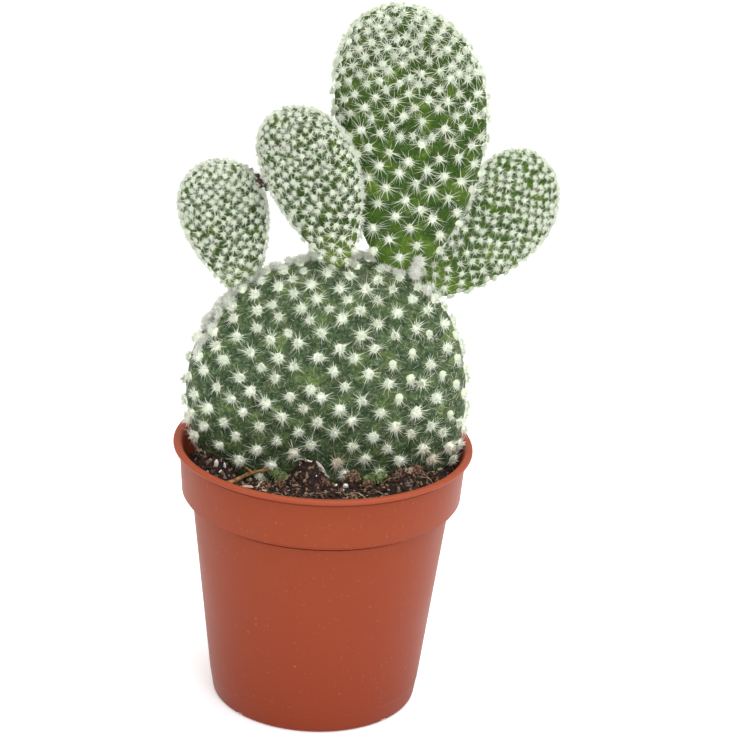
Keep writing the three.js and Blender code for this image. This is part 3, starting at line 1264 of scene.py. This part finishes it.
@dataclass(frozen=True)
class Soil:
    """Peat in the pot: a rough bed, heaped at the pad's foot, and all that lies loose on it.

    A heap is given by its place across and through, its height and its reach. The perlite
    that is seen is given by its place and radius, a moss cushion by its middle and radius,
    and a curled fibre by its points.
    """

    pot: Pot
    foot: Pad
    level: float = 68.8
    swell: float = 1.0
    gap: float = 0.3
    hole_grid: tuple[int, int] = (60, 96)
    edge_gap: float = 1.0
    foot_gap: float = 0.7
    skin_gap: float = 0.1
    crumbs: int = 1000
    grains: int = 4900
    bark_bits: int = 420
    shreds: int = 3200
    shred_length: Span = (0.8, 3.2)
    shred_girth: Span = (0.08, 0.24)
    perlite: int = 40
    perlite_front: float = -6.0
    perlite_size: Span = (0.25, 0.6)
    fibres: int = 80
    fibre_length: Span = (2.5, 7.0)
    fibre_bend: float = 2.0
    fibre_arch: float = 1.6
    fibre_girth: Span = (0.06, 0.13)
    curled_girth: float = 0.25
    stems: int = 320
    stem_length: Span = (0.35, 1.0)
    stem_girth: Span = (0.1, 0.24)
    stem_tip: Span = (0.14, 0.34)
    seed: int = 71
    heaps: Rows = (
        (-2.5, -13.2, 6.2, 4.2), (-6.6, -13.2, 4.4, 3.0), (8.2, -13.0, 3.2, 2.8),
        (24.0, -10.5, 6.2, 6.5), (33.0, -3.0, 5.0, 5.0), (-33.0, -4.5, 4.6, 6.0),
        (-28.0, -8.5, 2.8, 4.6), (-12.0, 13.5, 2.6, 6.0), (16.0, 13.5, 3.0, 7.0),
    )
    seen_perlite: Rows = (
        (-28.4, -11.1, 0.45), (6.7, -15.4, 0.75), (4.1, -14.4, 0.4), (6.2, -16.4, 0.35),
        (-1.5, -16.0, 0.3),
    )
    moss: Rows = (
        (14.8, -12.1, 71.8, 2.7), (17.0, -11.7, 72.7, 1.6), (13.0, -12.4, 71.5, 1.6),
        (-11.9, -11.9, 71.3, 2.0), (-9.4, -12.4, 70.6, 1.6), (-13.6, -11.6, 72.4, 1.2),
        (29.0, 12.0, 71.0, 2.2), (-20.0, 14.0, 70.0, 1.8),
    )
    dry_moss: Rows = (
        (8.6, -13.0, 72.4, 2.6), (-7.2, -14.6, 70.5, 2.0), (-3.6, -15.4, 70.9, 2.1),
        (0.2, -15.4, 71.2, 2.0), (-11.5, -14.4, 69.9, 1.8), (22.4, -12.4, 73.4, 2.1),
        (26.6, -10.6, 74.2, 2.0), (13.0, -14.0, 70.6, 1.4), (-31.6, -5.4, 72.6, 2.0),
        (14.0, 14.5, 71.6, 2.2),
    )
    curled: tuple[Rows, ...] = (
        ((-7.9, -11.9, 75.8), (-6.5, -12.1, 76.7), (-5.1, -12.2, 76.6), (-3.7, -13.5, 76.8),
         (-2.6, -13.3, 76.5)),
        ((-3.2, -13.3, 76.6), (-1.8, -12.2, 76.2), (-0.6, -12.1, 75.3), (0.3, -12.0, 74.1),
         (1.2, -11.8, 72.5)),
        ((-1.5, -12.1, 75.6), (-0.6, -12.0, 74.7), (0.1, -11.9, 73.4), (0.9, -11.7, 72.2),
         (2.1, -11.6, 71.2)),
        ((-17.9, -15.8, 69.3), (-17.4, -13.9, 69.2), (-16.9, -12.4, 69.3), (-16.6, -9.8, 68.7),
         (-16.2, -10.0, 69.4)),
        ((-14.4, -11.3, 75.2), (-14.3, -11.1, 74.3), (-14.2, -11.0, 73.3), (-14.1, -10.9, 72.3),
         (-14.0, -10.7, 71.3)),
    )

    def top(self, places: Array) -> Array:
        """Height of the soil's surface: its level with long, middle and short waves and heaps.

        A heap is a bell: its height times exp(-(distance / reach)^2).

        Args:
            places: Across and through, in the last axis.

        Returns:
            One height for each place.
        """
        x, y = places[..., 0], places[..., 1]
        long_waves = self.swell * (
            0.55 * np.sin(0.29 * x + 0.8) * np.cos(0.33 * y - 0.5)
            + 0.3 * np.sin(0.71 * x - 0.52 * y + 1.9)
            + 0.25 * np.cos(0.47 * x + 0.83 * y)
        )
        heaped = sum(
            height * np.exp(-((x - across) ** 2 + (y - through) ** 2) / reach**2)
            for across, through, height, reach in self.heaps
        )
        flat = np.stack([x, y], -1)
        rough = 0.45 * waves(flat, 4.5, 20, 5) + 0.32 * waves(flat, 1.6, 20, 6)
        return self.level + long_waves + heaped + rough

    def buries(self, points: Array) -> Array:
        """Whether points lie under the soil's surface."""
        return points[..., 2] < self.top(points[..., :2]) + self.skin_gap

    def wall(self, heights: Array) -> Array:
        """Soil's radius at heights, a gap inside the pot's wall."""
        inner = np.array(self.pot.inside())
        return np.interp(heights, inner[1:, 1], inner[1:, 0]) - self.gap

    def build(self) -> None:
        """Builds the soil's bed with a hole for the lowest pad, then all that lies on it."""
        self.build_bed(PeatFinish("wet_peat", "#090504", "#2a170f", "#5a4030").material())
        peat = PeatFinish("damp_peat").material()
        rng = np.random.default_rng(self.seed)
        bark = GrainFinish("bark_bits", "#5a3b28", "#a3815f", 0.9).material()
        for name, count, finish, sizes, power, sunk, rough, stretch, grid in (
            ("crumbs", self.crumbs, peat, (0.4, 1.0), 1.6, 0.1, 0.5, (0.5, 1.3), (3, 7)),
            ("grains", self.grains, peat, (0.2, 0.56), 1.0, -0.7, 0.45, (0.4, 1.6), (2, 5)),
            ("bark", self.bark_bits, bark, (0.2, 0.5), 1.0, -0.3, 0.45, (0.3, 2.1), (3, 7)),
        ):
            spots = self.free_spots(count, rng)
            size = rng.uniform(*sizes, len(spots)) ** power
            self.scatter(f"soil_{name}", spots, size, sunk, finish, rng, rough, stretch, grid)
        white = GrainFinish("expanded_perlite", "#d8d4cc", "#fbf9f5", 0.6).material()
        # In front, the perlite is only where the photo shows it.
        spots = self.free_spots(self.perlite, rng)
        spots = spots[spots[:, 1] > self.perlite_front]
        size = rng.uniform(*self.perlite_size, len(spots))
        seen = np.array(self.seen_perlite)
        lifted = np.hstack([seen[:, :2], self.top(seen[:, :2])[:, None] + 0.5])
        spots, size = np.vstack([spots, lifted]), np.concatenate([size, seen[:, 2]])
        self.scatter("soil_perlite", spots, size, 0.1, white, rng, rough=0.3, stretch=(0.7, 1.2))
        self.build_shreds(rng)
        self.build_moss(rng)
        self.build_fibres(rng)
        self.build_twig()

    def build_bed(self, peat: bpy.types.Material) -> None:
        """Builds the soil's body and cuts the lowest pad's hole in it.

        Its side follows the pot's wall, and its top is the surface over shrinking rings.

        Args:
            peat: Finish of the soil.
        """
        columns, rings = 220, 70
        turn = 2 * math.pi * np.arange(columns) / columns
        low = self.pot.floor + self.gap + 0.1
        sides = np.array([low, 20, 40, 58, 61.2, 61.7, 62.1, 62.5, 65.0, self.level - 1.2])
        side_radius = self.wall(sides)
        share = (1 - np.arange(rings) / rings) ** 0.9
        radius = np.concatenate([side_radius, side_radius[-1] * share])
        flat = np.stack([radius[:, None] * np.cos(turn), radius[:, None] * np.sin(turn)], -1)
        height = np.concatenate([sides[:, None] + 0 * turn, self.top(flat[len(sides) :])])
        points = np.dstack([flat, height]).reshape(-1, 3)
        centre = self.top(np.zeros((1, 2)))
        points = np.vstack([[[0, 0, sides[0]]], points, [[0, 0, centre[0]]]])
        kind = {"kind": np.clip(0.45 + 0.5 * waves(points, 2.2, 16, 9), 0, 0.86)}
        body = make_piece("soil_bed", points, closed_faces(len(radius), columns), peat, "soil", kind)
        hole = self.foot.skin(sphere_directions(*self.hole_grid), self.gap)
        self.pot.cut(body, [(hole, closed_faces(*self.hole_grid))])
        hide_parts("soil")

    def free_spots(self, count: int, rng: Rng) -> Array:
        """Random places on the soil, clear of the lowest pad and of the pot's wall.

        Args:
            count: Number of places that are tried.
            rng: Seeded random numbers.

        Returns:
            Places across, through and up, one a row.
        """
        reach = float(self.wall(np.array([self.level]))[0]) - self.edge_gap
        radius = reach * np.sqrt(rng.uniform(0, 1, count))
        angle = rng.uniform(0, 2 * math.pi, count)
        flat = np.stack([radius * np.cos(angle), radius * np.sin(angle)], -1)
        places = np.hstack([flat, self.top(flat)[:, None]])
        return places[~self.foot.holds(places, self.foot_gap)]

    def scatter(
        self,
        name: str,
        spots: Array,
        size: Array,
        sunk: float,
        material: bpy.types.Material,
        rng: Rng,
        rough: float,
        stretch: Span,
        grid: tuple[int, int] = (3, 7),
    ) -> bpy.types.Object:
        """Rough lumps, each a squashed ball with its surface moved in and out at random.

        Args:
            name: Piece's name.
            spots: Places on the soil.
            size: Radius of each lump.
            sunk: Share of the radius by which a lump is sunk.
            material: Finish of the lumps.
            rng: Seeded random numbers.
            rough: Share of the radius by which the surface moves.
            stretch: Least and greatest stretch along a lump's own axes.
            grid: Rings and columns of each lump.

        Returns:
            The lumps as one piece.
        """
        lump, triangles = ball(*grid)
        count = len(spots)
        shape = lump[None] * rng.uniform(1 - rough, 1 + rough, (count, len(lump), 1))
        shape = shape * rng.uniform(*stretch, (count, 1, 3))
        turned = np.einsum("nij,nkj->nki", random_turns(count, rng), shape)
        centre = spots + np.stack([0 * size, 0 * size, -size * sunk], -1)
        points, faces = join_copies(centre[:, None] + turned * size[:, None, None], triangles)
        kind = np.repeat(rng.uniform(0, 1, count), len(lump))
        return make_piece(name, points, faces, material, "soil", {"kind": kind}, smooth=False)

    def build_shreds(self, rng: Rng) -> None:
        """Builds thin torn shreds of peat and bark that stick out of the soil every way.

        Args:
            rng: Seeded random numbers.
        """
        spots = self.free_spots(self.shreds, rng)
        way = unit(rng.normal(size=spots.shape) * np.array([1.0, 1.0, 0.45]) + np.array([0, 0, 0.25]))
        length = rng.uniform(*self.shred_length, len(spots))
        tip = spots + way * length[:, None]
        reach = self.wall(tip[:, 2]) - 0.6
        kept = ~self.foot.holds(tip, 0.3) & (np.hypot(tip[:, 0], tip[:, 1]) < reach)
        spots, way, length = spots[kept], way[kept], length[kept]
        girth = rng.uniform(*self.shred_girth, len(spots))
        shreds = spikes(spots - way * 0.3, way, length, girth, rng)
        torn = PeatFinish("torn_peat", "#3a2318", "#6a4630", "#d9c0a0").material()
        kind = np.repeat(rng.uniform(0, 1, len(spots)) ** 1.2, 4)
        make_piece("soil_shreds", *shreds, torn, "soil", {"kind": kind}, smooth=False)

    def build_moss(self, rng: Rng) -> None:
        """Builds cushions of green and of dried moss as domes of short stems.

        A stem starts within the dome and points outwards from its middle, with a random
        share of any other way. A small lump sits on every fourth stem's tip.

        Args:
            rng: Seeded random numbers.
        """
        green = GrainFinish("moss", "#4c6234", "#98a86e", 1.1)
        brown = GrainFinish("dried_moss", "#2e1a12", "#b08a70", 0.6)
        for name, mounds, finish in (
            ("soil_moss", self.moss, green),
            ("soil_dried_moss", self.dry_moss, brown),
        ):
            material = finish.material()
            middles = np.repeat(np.array(mounds), self.stems, axis=0)
            out = unit(rng.normal(size=(len(middles), 3)))
            squash = middles[:, 3:4] * np.array([1.0, 0.75, 0.8])
            roots = middles[:, :3] + out * squash * rng.uniform(0.3, 1.0, (len(middles), 1)) ** 0.5 * 0.8
            ways = unit(out + 0.6 * rng.normal(size=out.shape))
            length = rng.uniform(*self.stem_length, len(roots))
            stems = spikes(roots, ways, length, rng.uniform(*self.stem_girth, len(roots)), rng)
            make_piece(name, *stems, material, "soil", smooth=False)
            tips = (roots + ways * length[:, None] * 0.6)[::4]
            size = rng.uniform(*self.stem_tip, len(tips))
            self.scatter(f"{name}_tips", tips, size, 0.0, material, rng, 0.4, (0.5, 1.5), grid=(2, 5))

    def build_fibres(self, rng: Rng) -> None:
        """Builds dry root fibres that lie over the soil in slack arcs.

        A fibre's points run along its heading, pushed sideways by bend s^2 at the share s,
        and rise over the soil by a low arch.

        Args:
            rng: Seeded random numbers.
        """
        starts = self.free_spots(self.fibres, rng)
        heading = rng.uniform(0, 2 * math.pi, len(starts))
        length = rng.uniform(*self.fibre_length, len(starts))[:, None]
        bend = rng.uniform(-self.fibre_bend, self.fibre_bend, len(starts))[:, None]
        share = np.linspace(0, 1, 6)[None, :]
        ahead = np.stack([np.cos(heading), np.sin(heading)], -1)[:, None]
        aside = np.stack([-np.sin(heading), np.cos(heading)], -1)[:, None]
        flat = starts[:, None, :2] + ahead * (length * share)[..., None]
        flat = flat + aside * (bend * share**2)[..., None]
        arch = 0.35 + rng.uniform(0, self.fibre_arch, (len(starts), 1)) * np.sin(math.pi * share)
        paths = np.dstack([flat, self.top(flat) + arch])
        reach = self.wall(np.array([self.level]))[0] - 0.8
        inside = np.linalg.norm(flat, axis=-1).max(1) < reach
        paths = paths[inside & ~self.foot.holds(paths, 0.4).any(1)]
        radius = rng.uniform(*self.fibre_girth, (len(paths), 1)) * (1 - 0.4 * share)
        straw = GrainFinish("root_fibre", "#8d6f52", "#cdb795", 2.0).material()
        make_piece("soil_fibres", *tubes(paths, radius, 4), straw, "soil")
        pale = GrainFinish("pale_fibre", "#e2dccf", "#fbf9f4", 1.0).material()
        curled = np.array(self.curled)
        radius = np.full(curled.shape[:2], self.curled_girth) * np.array([0.7, 1.1, 0.9, 1.1, 0.6])
        make_piece("soil_pale_fibres", *tubes(curled, radius, 5), pale, "soil")

    def build_twig(self) -> None:
        """Builds the forked bit of twig, the chips and shards at the left and the flakes."""
        stem = (
            (-26.4, -14.8, 69.5), (-24.0, -13.0, 69.7), (-22.3, -11.4, 70.2), (-20.9, -11.0, 70.9),
            (-19.9, -11.1, 71.4), (-17.7, -11.5, 72.2), (-15.3, -11.6, 73.0),
        )
        side = ((-19.6, -11.2, 71.4), (-20.1, -11.0, 71.9), (-20.7, -10.9, 72.4), (-21.2, -10.8, 72.8))
        wood = GrainFinish("dry_twig", "#624226", "#ab7d4a", 1.2).material()
        for name, path, girth in (("soil_twig", stem, 0.7), ("soil_twig_fork", side, 0.52)):
            taper = np.linspace(1.0, 0.7, len(path))[None, :]
            uneven = 1 + 0.18 * np.sin(2.3 * np.arange(len(path)))[None, :]
            make_piece(name, *tubes(np.array([path]), girth * taper * uneven, 10), wood, "soil")
        chip = GrainFinish("pale_chip", "#9b7a66", "#cdb09a", 1.0).material()
        lump, faces = sphere_directions(7, 14), closed_faces(7, 14)
        white = GrainFinish("perlite_shard", "#dcd8d0", "#fbf9f5", 0.6).material()
        lichen = GrainFinish("lichen_flake", "#7f8c70", "#b9c0a6", 0.8).material()
        for name, middle, reach, heading, material in (
            ("soil_chip_left", (-20.4, -18.2, 70.3), (1.6, 0.6, 0.35), -0.1, chip),
            ("soil_chip_right", (-15.7, -20.2, 70.2), (0.8, 0.4, 0.28), -0.35, chip),
            ("soil_flake_front", (30.8, -8.2, 72.5), (1.5, 0.6, 0.4), 0.45, lichen),
            ("soil_flake_back", (33.2, -6.5, 73.0), (1.0, 0.5, 0.35), 0.7, lichen),
            ("soil_shard_left", (-29.7, -10.1, 73.3), (0.62, 0.45, 1.6), 0.2, white),
            ("soil_shard_right", (-27.3, -10.2, 72.8), (0.36, 0.3, 1.2), -0.3, white),
        ):
            bumps = 1 + 0.12 * waves(lump, 0.9, 12, 31)
            shape = lump * bumps[:, None] * np.array(reach)
            turn = np.array(Matrix.Rotation(heading, 3, "Z") @ Matrix.Rotation(0.3, 3, "X"))
            make_piece(name, shape @ turn.T + np.array(middle), faces, material, "soil")


@dataclass(frozen=True)
class Studio:
    """Pale floor, soft light and a long lens from a little above the rim."""

    distance: float = 700.0
    elevation: float = 20.9
    roll: float = 2.4
    aim_height: float = 100.0
    photo_side: float = 736.0
    focal_pixels: float = 2497.0
    aim_pixel: Span = (326.3, 366.6)
    sensor: float = 36.0
    surround: float = 0.72
    floor_half: float = 4000.0
    floor_glow: float = 0.18
    top: float = 46.0
    key: float = 5.5

    def build(self) -> None:
        """Builds the floor, the lights and the camera."""
        self.build_floor()
        self.build_lights()
        self.build_camera()

    def build_floor(self) -> None:
        """Builds a wide plain floor in white paper, lit a little from below."""
        glow = {"Emission Color": WHITE, "Emission Strength": self.floor_glow}
        material = layered_material("backdrop_paper", "#f7f7f7", {}, (), [], 0.95, None, glow)
        corners = self.floor_half * np.array([(-1, -1, 0), (1, -1, 0), (1, 1, 0), (-1, 1, 0)])
        floor = mesh_object("floor", corners, [(0, 1, 2, 3)])
        floor.data.materials.append(material)

    def build_lights(self) -> None:
        """Sets an even white surround, a wide overhead softbox and a key from the front right.

        The softboxes' places and widths are in metres.
        """
        world = bpy.data.worlds.new("studio_surround")
        world.use_nodes = True
        surround = world.node_tree.nodes["Background"]
        surround.inputs["Color"].default_value = WHITE
        surround.inputs["Strength"].default_value = self.surround
        bpy.context.scene.world = world
        bpy.context.scene.view_settings.view_transform = "Standard"
        for name, place, width, power in (
            ("softbox_top", (0.3, -0.1, 1.9), 2.2, self.top),
            ("softbox_key", (0.3, -1.15, 0.75), 0.8, self.key),
        ):
            light = bpy.data.lights.new(name, "AREA")
            light.size = width
            light.energy = power
            lamp = bpy.data.objects.new(name, light)
            lamp.location = place
            aim = Vector((0, 0, self.aim_height * MM)) - Vector(place)
            lamp.rotation_euler = aim.to_track_quat("-Z", "Y").to_euler()
            bpy.context.scene.collection.objects.link(lamp)

    def build_camera(self) -> None:
        """Sets the camera from its distance, elevation, roll and the pixel it aims at.

        The camera's axes are right cos r + up sin r, up cos r - right sin r and back,
        where r is the roll. The shift brings the aimed point to its pixel.
        """
        data = bpy.data.cameras.new("camera")
        data.sensor_width = self.sensor
        data.lens = self.focal_pixels / self.photo_side * self.sensor
        data.shift_x = 0.5 - self.aim_pixel[0] / self.photo_side
        data.shift_y = self.aim_pixel[1] / self.photo_side - 0.5
        data.clip_start = 0.05
        data.clip_end = 20.0
        angle, roll = math.radians(self.elevation), math.radians(self.roll)
        back = Vector((0, -math.cos(angle), math.sin(angle)))
        up = Vector((0, math.sin(angle), math.cos(angle)))
        right = Vector((1, 0, 0))
        across = right * math.cos(roll) + up * math.sin(roll)
        upward = up * math.cos(roll) - right * math.sin(roll)
        camera = bpy.data.objects.new("camera", data)
        turn = Matrix((across, upward, back)).transposed()
        place = Vector((0, 0, self.aim_height)) + back * self.distance
        camera.matrix_world = Matrix.Translation(place * MM) @ turn.to_4x4()
        bpy.context.scene.collection.objects.link(camera)
        bpy.context.scene.camera = camera


# The old skin's foot colour is a lighter green: painted light on the lowest pad's low part, which the
# pot's rim shades.
OLD_SKIN = SkinFinish(
    "old_pad_skin", "#273b25", "#4a5f3a", "#98a384", "#65784a", blush="#667d40", blush_share=0.4,
    mottle_size=3.0, grain_size=1.1, grain_depth=0.3, speck_share=0.6, scab_share=0.8,
)
RIPE_SKIN = SkinFinish(
    "ripe_pad_skin", "#1e3a09", "#38570f", "#7a9050", "#52701a", blush="#5e7a1e", blush_share=0.5,
    halo="#6e7536", halo_strength=0.15, foot_reach=0.2, foot_strength=0.7,
)
YOUNG_SKIN = SkinFinish(
    "young_pad_skin", "#253c0b", "#405c15", "#6a7c46", "#6c8028", blush="#5b761f", halo_strength=0.0
)
RIGHT_SKIN = SkinFinish(
    "young_pad_skin_right", "#2a440f", "#4b691b", "#788c52", "#6d8a24", blush="#688427", halo_strength=0.0
)
OLD_TUFT = Tuft(1.4, 56, 24, 1.7, 4.4, 0.15, 0.09)
YOUNG_TUFT = Tuft(0.72, 26, 17, 1.2, 3.0, 0.11, 0.085)

PADS = [
    Pad(
        "pad_base", (10.2, 0.0, 49.8), tilt=-7.9, lean=0.0, yaw=0.0, length=83.4, width=78.6,
        thickness=25.6, taper=0.064, bow=-4.1, squareness=0.96, areoles=400, crowding=1.6,
        crowding_power=8.0, edge_crowding=0.25, worn=(28.5, 101.0, 14.0), strays=560,
        finish=OLD_SKIN, tuft=OLD_TUFT, rings=160, columns=150, seed=11,
    ),
    Pad(
        "pad_tall", (19.6, -1.0, 127.7), tilt=-3.7, lean=0.0, yaw=3.0, length=75.9, width=40.8,
        thickness=12.2, taper=0.27, bow=3.6, areoles=335, crowding=2.3, crowding_power=2.5,
        finish=RIPE_SKIN, tuft=Tuft(), rings=140, columns=130, seed=12,
    ),
    Pad(
        "pad_left_mid", (2.9, -4.2, 131.2), tilt=-20.6, lean=6.0, yaw=-10.0, length=48.0, width=24.4,
        thickness=11.6, taper=0.37, bow=1.35, areoles=375, crowding=1.75, edge_crowding=0.15,
        finish=YOUNG_SKIN, tuft=YOUNG_TUFT, rings=100, columns=90, seed=13,
    ),
    Pad(
        "pad_left_small", (-24.0, 0.5, 121.7), tilt=-15.2, lean=0.0, yaw=8.0, length=37.3, width=22.8,
        thickness=10.6, taper=0.35, bow=0.25, areoles=325, crowding=1.65, edge_crowding=0.15,
        finish=YOUNG_SKIN, tuft=YOUNG_TUFT, rings=90, columns=90, seed=14,
    ),
    Pad(
        "pad_right", (25.7, 5.1, 121.1), tilt=40.7, lean=-12.0, yaw=10.0, length=49.9, width=27.3,
        thickness=11.6, taper=0.35, bow=2.4, areoles=385, crowding=1.65, edge_crowding=0.15,
        finish=RIGHT_SKIN, tuft=YOUNG_TUFT, rings=100, columns=90, seed=15,
    ),
]


@dataclass(frozen=True)
class OldWool:
    """Felted grey wool on the lowest pad's ridge and in the joints of the upper pads.

    Each patch holds a few clumps with loose hairs. It is given by its middle, its half
    sizes along, through and up, and its turn in the plane of the pads.
    """

    patches: Rows = (
        (-21.9, -0.3, 125.7, 2.6, 1.6, 1.3, -38.0), (-24.3, -0.5, 123.7, 2.2, 1.6, 1.2, -40.0),
        (-26.6, -0.9, 121.6, 2.4, 2.0, 1.3, -43.0), (-28.9, -1.3, 119.2, 2.6, 2.2, 1.4, -46.0),
        (-30.9, -1.5, 116.7, 2.4, 2.0, 1.2, -50.0), (-32.7, -1.8, 114.1, 2.2, 1.6, 1.0, -53.0),
        (-34.0, -2.1, 111.8, 1.8, 1.3, 0.8, -57.0), (-35.5, -2.4, 108.2, 1.5, 1.1, 0.6, -62.0),
        (-18.5, 0.0, 127.2, 1.5, 1.2, 0.7, -28.0), (-15.0, 0.2, 129.0, 1.5, 1.2, 0.7, -24.0),
        (-10.9, 0.0, 130.6, 2.0, 1.3, 0.9, -17.0), (-7.1, -0.8, 131.6, 2.3, 1.6, 1.1, -10.0),
        (-3.7, -1.1, 132.3, 1.8, 1.5, 1.0, -5.0), (6.7, -1.4, 133.4, 1.6, 1.4, 1.3, 0.0),
        (11.6, -1.2, 132.8, 1.5, 1.1, 1.0, 8.0), (15.3, -3.1, 131.2, 2.0, 0.7, 0.7, 16.0),
        (18.8, -3.4, 129.9, 1.8, 0.7, 0.7, 18.0), (23.2, -3.2, 130.8, 1.5, 1.2, 4.2, -4.0),
        (24.3, -3.9, 134.0, 1.5, 0.9, 1.9, 14.0), (22.7, -4.3, 130.2, 1.3, 0.9, 2.4, 4.0),
        (26.4, -3.1, 124.5, 0.9, 0.8, 2.8, -28.0), (-25.2, -0.8, 121.7, 2.0, 1.1, 1.2, -42.0),
        (-27.7, -2.9, 118.8, 2.4, 1.2, 1.5, -45.0), (-30.2, -4.0, 115.1, 2.4, 1.2, 1.5, -48.0),
        (-32.0, -4.4, 112.1, 2.2, 1.2, 1.4, -52.0), (-33.9, -4.6, 108.4, 2.0, 1.1, 1.2, -55.0),
        (-35.4, -4.6, 105.0, 1.7, 1.0, 1.0, -60.0), (-19.2, -0.5, 126.1, 1.6, 0.7, 0.8, -30.0),
        (-10.7, -0.3, 130.1, 2.0, 0.7, 0.8, -14.0), (-3.2, -0.3, 132.1, 1.8, 0.7, 0.8, -6.0),
    )
    clumps: int = 10
    hairs: int = 60
    clump_size: Span = (0.14, 0.34)
    hair_length: Span = (0.6, 2.1)
    hair_girth: float = 0.1
    ageing: float = 0.5
    seed: int = 41
    finish: BristleFinish = BristleFinish("old_wool", "#f9fdee", "#eff4de", "#c8c3aa")

    def build(self) -> None:
        """Builds the clumps and their hairs as one piece.

        A clump is a ball of a random size whose surface moves in and out in waves of about
        half its own radius. It sits at random within its patch, and its hairs leave it
        every way.
        """
        rng = np.random.default_rng(self.seed)
        lump, triangles = ball(4, 7)
        stacks, shapes, along, ages = [], [], [], []
        total = 0
        for number, patch in enumerate(self.patches):
            turn = np.array(Matrix.Rotation(math.radians(patch[6]), 3, "Y"))
            size = np.array(patch[3:6])
            mean = float(size.prod() ** (1 / 3))
            for clump in range(self.clumps):
                inside = unit(rng.normal(size=3)) * rng.uniform(0.2, 0.85)
                middle = (inside * size) @ turn.T + patch[:3]
                radius = rng.uniform(*self.clump_size) * mean
                bumps = waves(lump, 0.9, 12, 60 + 9 * number + clump)
                egg = lump * radius * (1 + 0.35 * bumps)[:, None] * rng.uniform(0.7, 1.3, 3)
                out = unit(rng.normal(size=(self.hairs, 3)))
                ways = unit(out + 0.8 * rng.normal(size=out.shape))
                length = rng.uniform(*self.hair_length, self.hairs)
                girth = np.full(self.hairs, self.hair_girth)
                roots = middle + out * radius * 0.8
                hair, hair_faces = spikes(roots, ways, length, girth, rng)
                age = self.ageing * rng.uniform(0.0, 1.0) ** 3
                for points, faces, share in ((egg + middle, triangles, 0.1), (hair, hair_faces, 1.0)):
                    stacks.append(points)
                    shapes.append(faces + total)
                    along.append(np.full(len(points), share))
                    ages.append(np.full(len(points), age))
                    total += len(points)
        values = {"along": np.concatenate(along), "age": np.concatenate(ages)}
        wool = self.finish.material()
        make_piece("old_wool", np.vstack(stacks), np.vstack(shapes), wool, "pad_base", values)


@dataclass(frozen=True)
class WitheredBud:
    """Dried flower remnant: a few papery brown scales and dark hairs at a pad's edge.

    A clump of scales is given by its middle and radius.
    """

    places: Rows = (
        (-18.7, -6.3, 154.3, 1.25), (-17.8, -6.4, 153.5, 1.0), (-19.6, -5.8, 154.8, 0.95),
        (-20.4, -5.2, 155.3, 0.7), (-19.1, -5.6, 155.5, 0.6), (-21.1, 0.8, 154.8, 0.4),
    )
    hairs: int = 60
    hair_length: Span = (0.7, 2.0)
    hair_girth: Span = (0.06, 0.12)
    seed: int = 23

    def build(self, soil: Soil) -> None:
        """Builds the scales as rough flat lumps, and the hairs up the pad's edge.

        Args:
            soil: Soil whose way of making lumps is used.
        """
        rng = np.random.default_rng(self.seed)
        lumps = np.repeat(np.array(self.places), 3, axis=0)
        spots = lumps[:, :3] + rng.normal(size=(len(lumps), 3)) * 0.35
        brown = GrainFinish("withered_bud", "#22140f", "#53392b", 0.8).material()
        size = lumps[:, 3] * 0.85
        piece = soil.scatter("withered_bud", spots, size, 0.0, brown, rng, 0.35, (0.3, 1.4))
        share = rng.uniform(0, 1, (self.hairs, 1))
        roots = np.array([-19.4, 0.6, 153.2]) * (1 - share) + np.array([-24.2, 0.9, 157.8]) * share
        roots = roots + rng.normal(size=roots.shape) * 0.45
        ways = unit(rng.normal(size=roots.shape) + np.array([0.5, -0.3, 0.6]))
        length = rng.uniform(*self.hair_length, self.hairs)
        dark = spikes(roots, ways, length, rng.uniform(*self.hair_girth, self.hairs), rng)
        make_piece("withered_bud_hairs", *dark, brown, "pad_left_small", smooth=False)


def main() -> None:
    """Builds every piece, then the studio."""
    logging.basicConfig(level=logging.INFO, format="%(name)s %(message)s")
    pot = Pot()
    pot.build()
    soil = Soil(pot, PADS[0])
    soil.build()
    bristles = BristleFinish().material()
    for pad in PADS:
        pad.build_skin()
        pad.build_tufts([other for other in PADS if other is not pad], soil, bristles)
    OldWool().build()
    WitheredBud().build(soil)
    Studio().build()


if __name__ == "__main__":
    main()
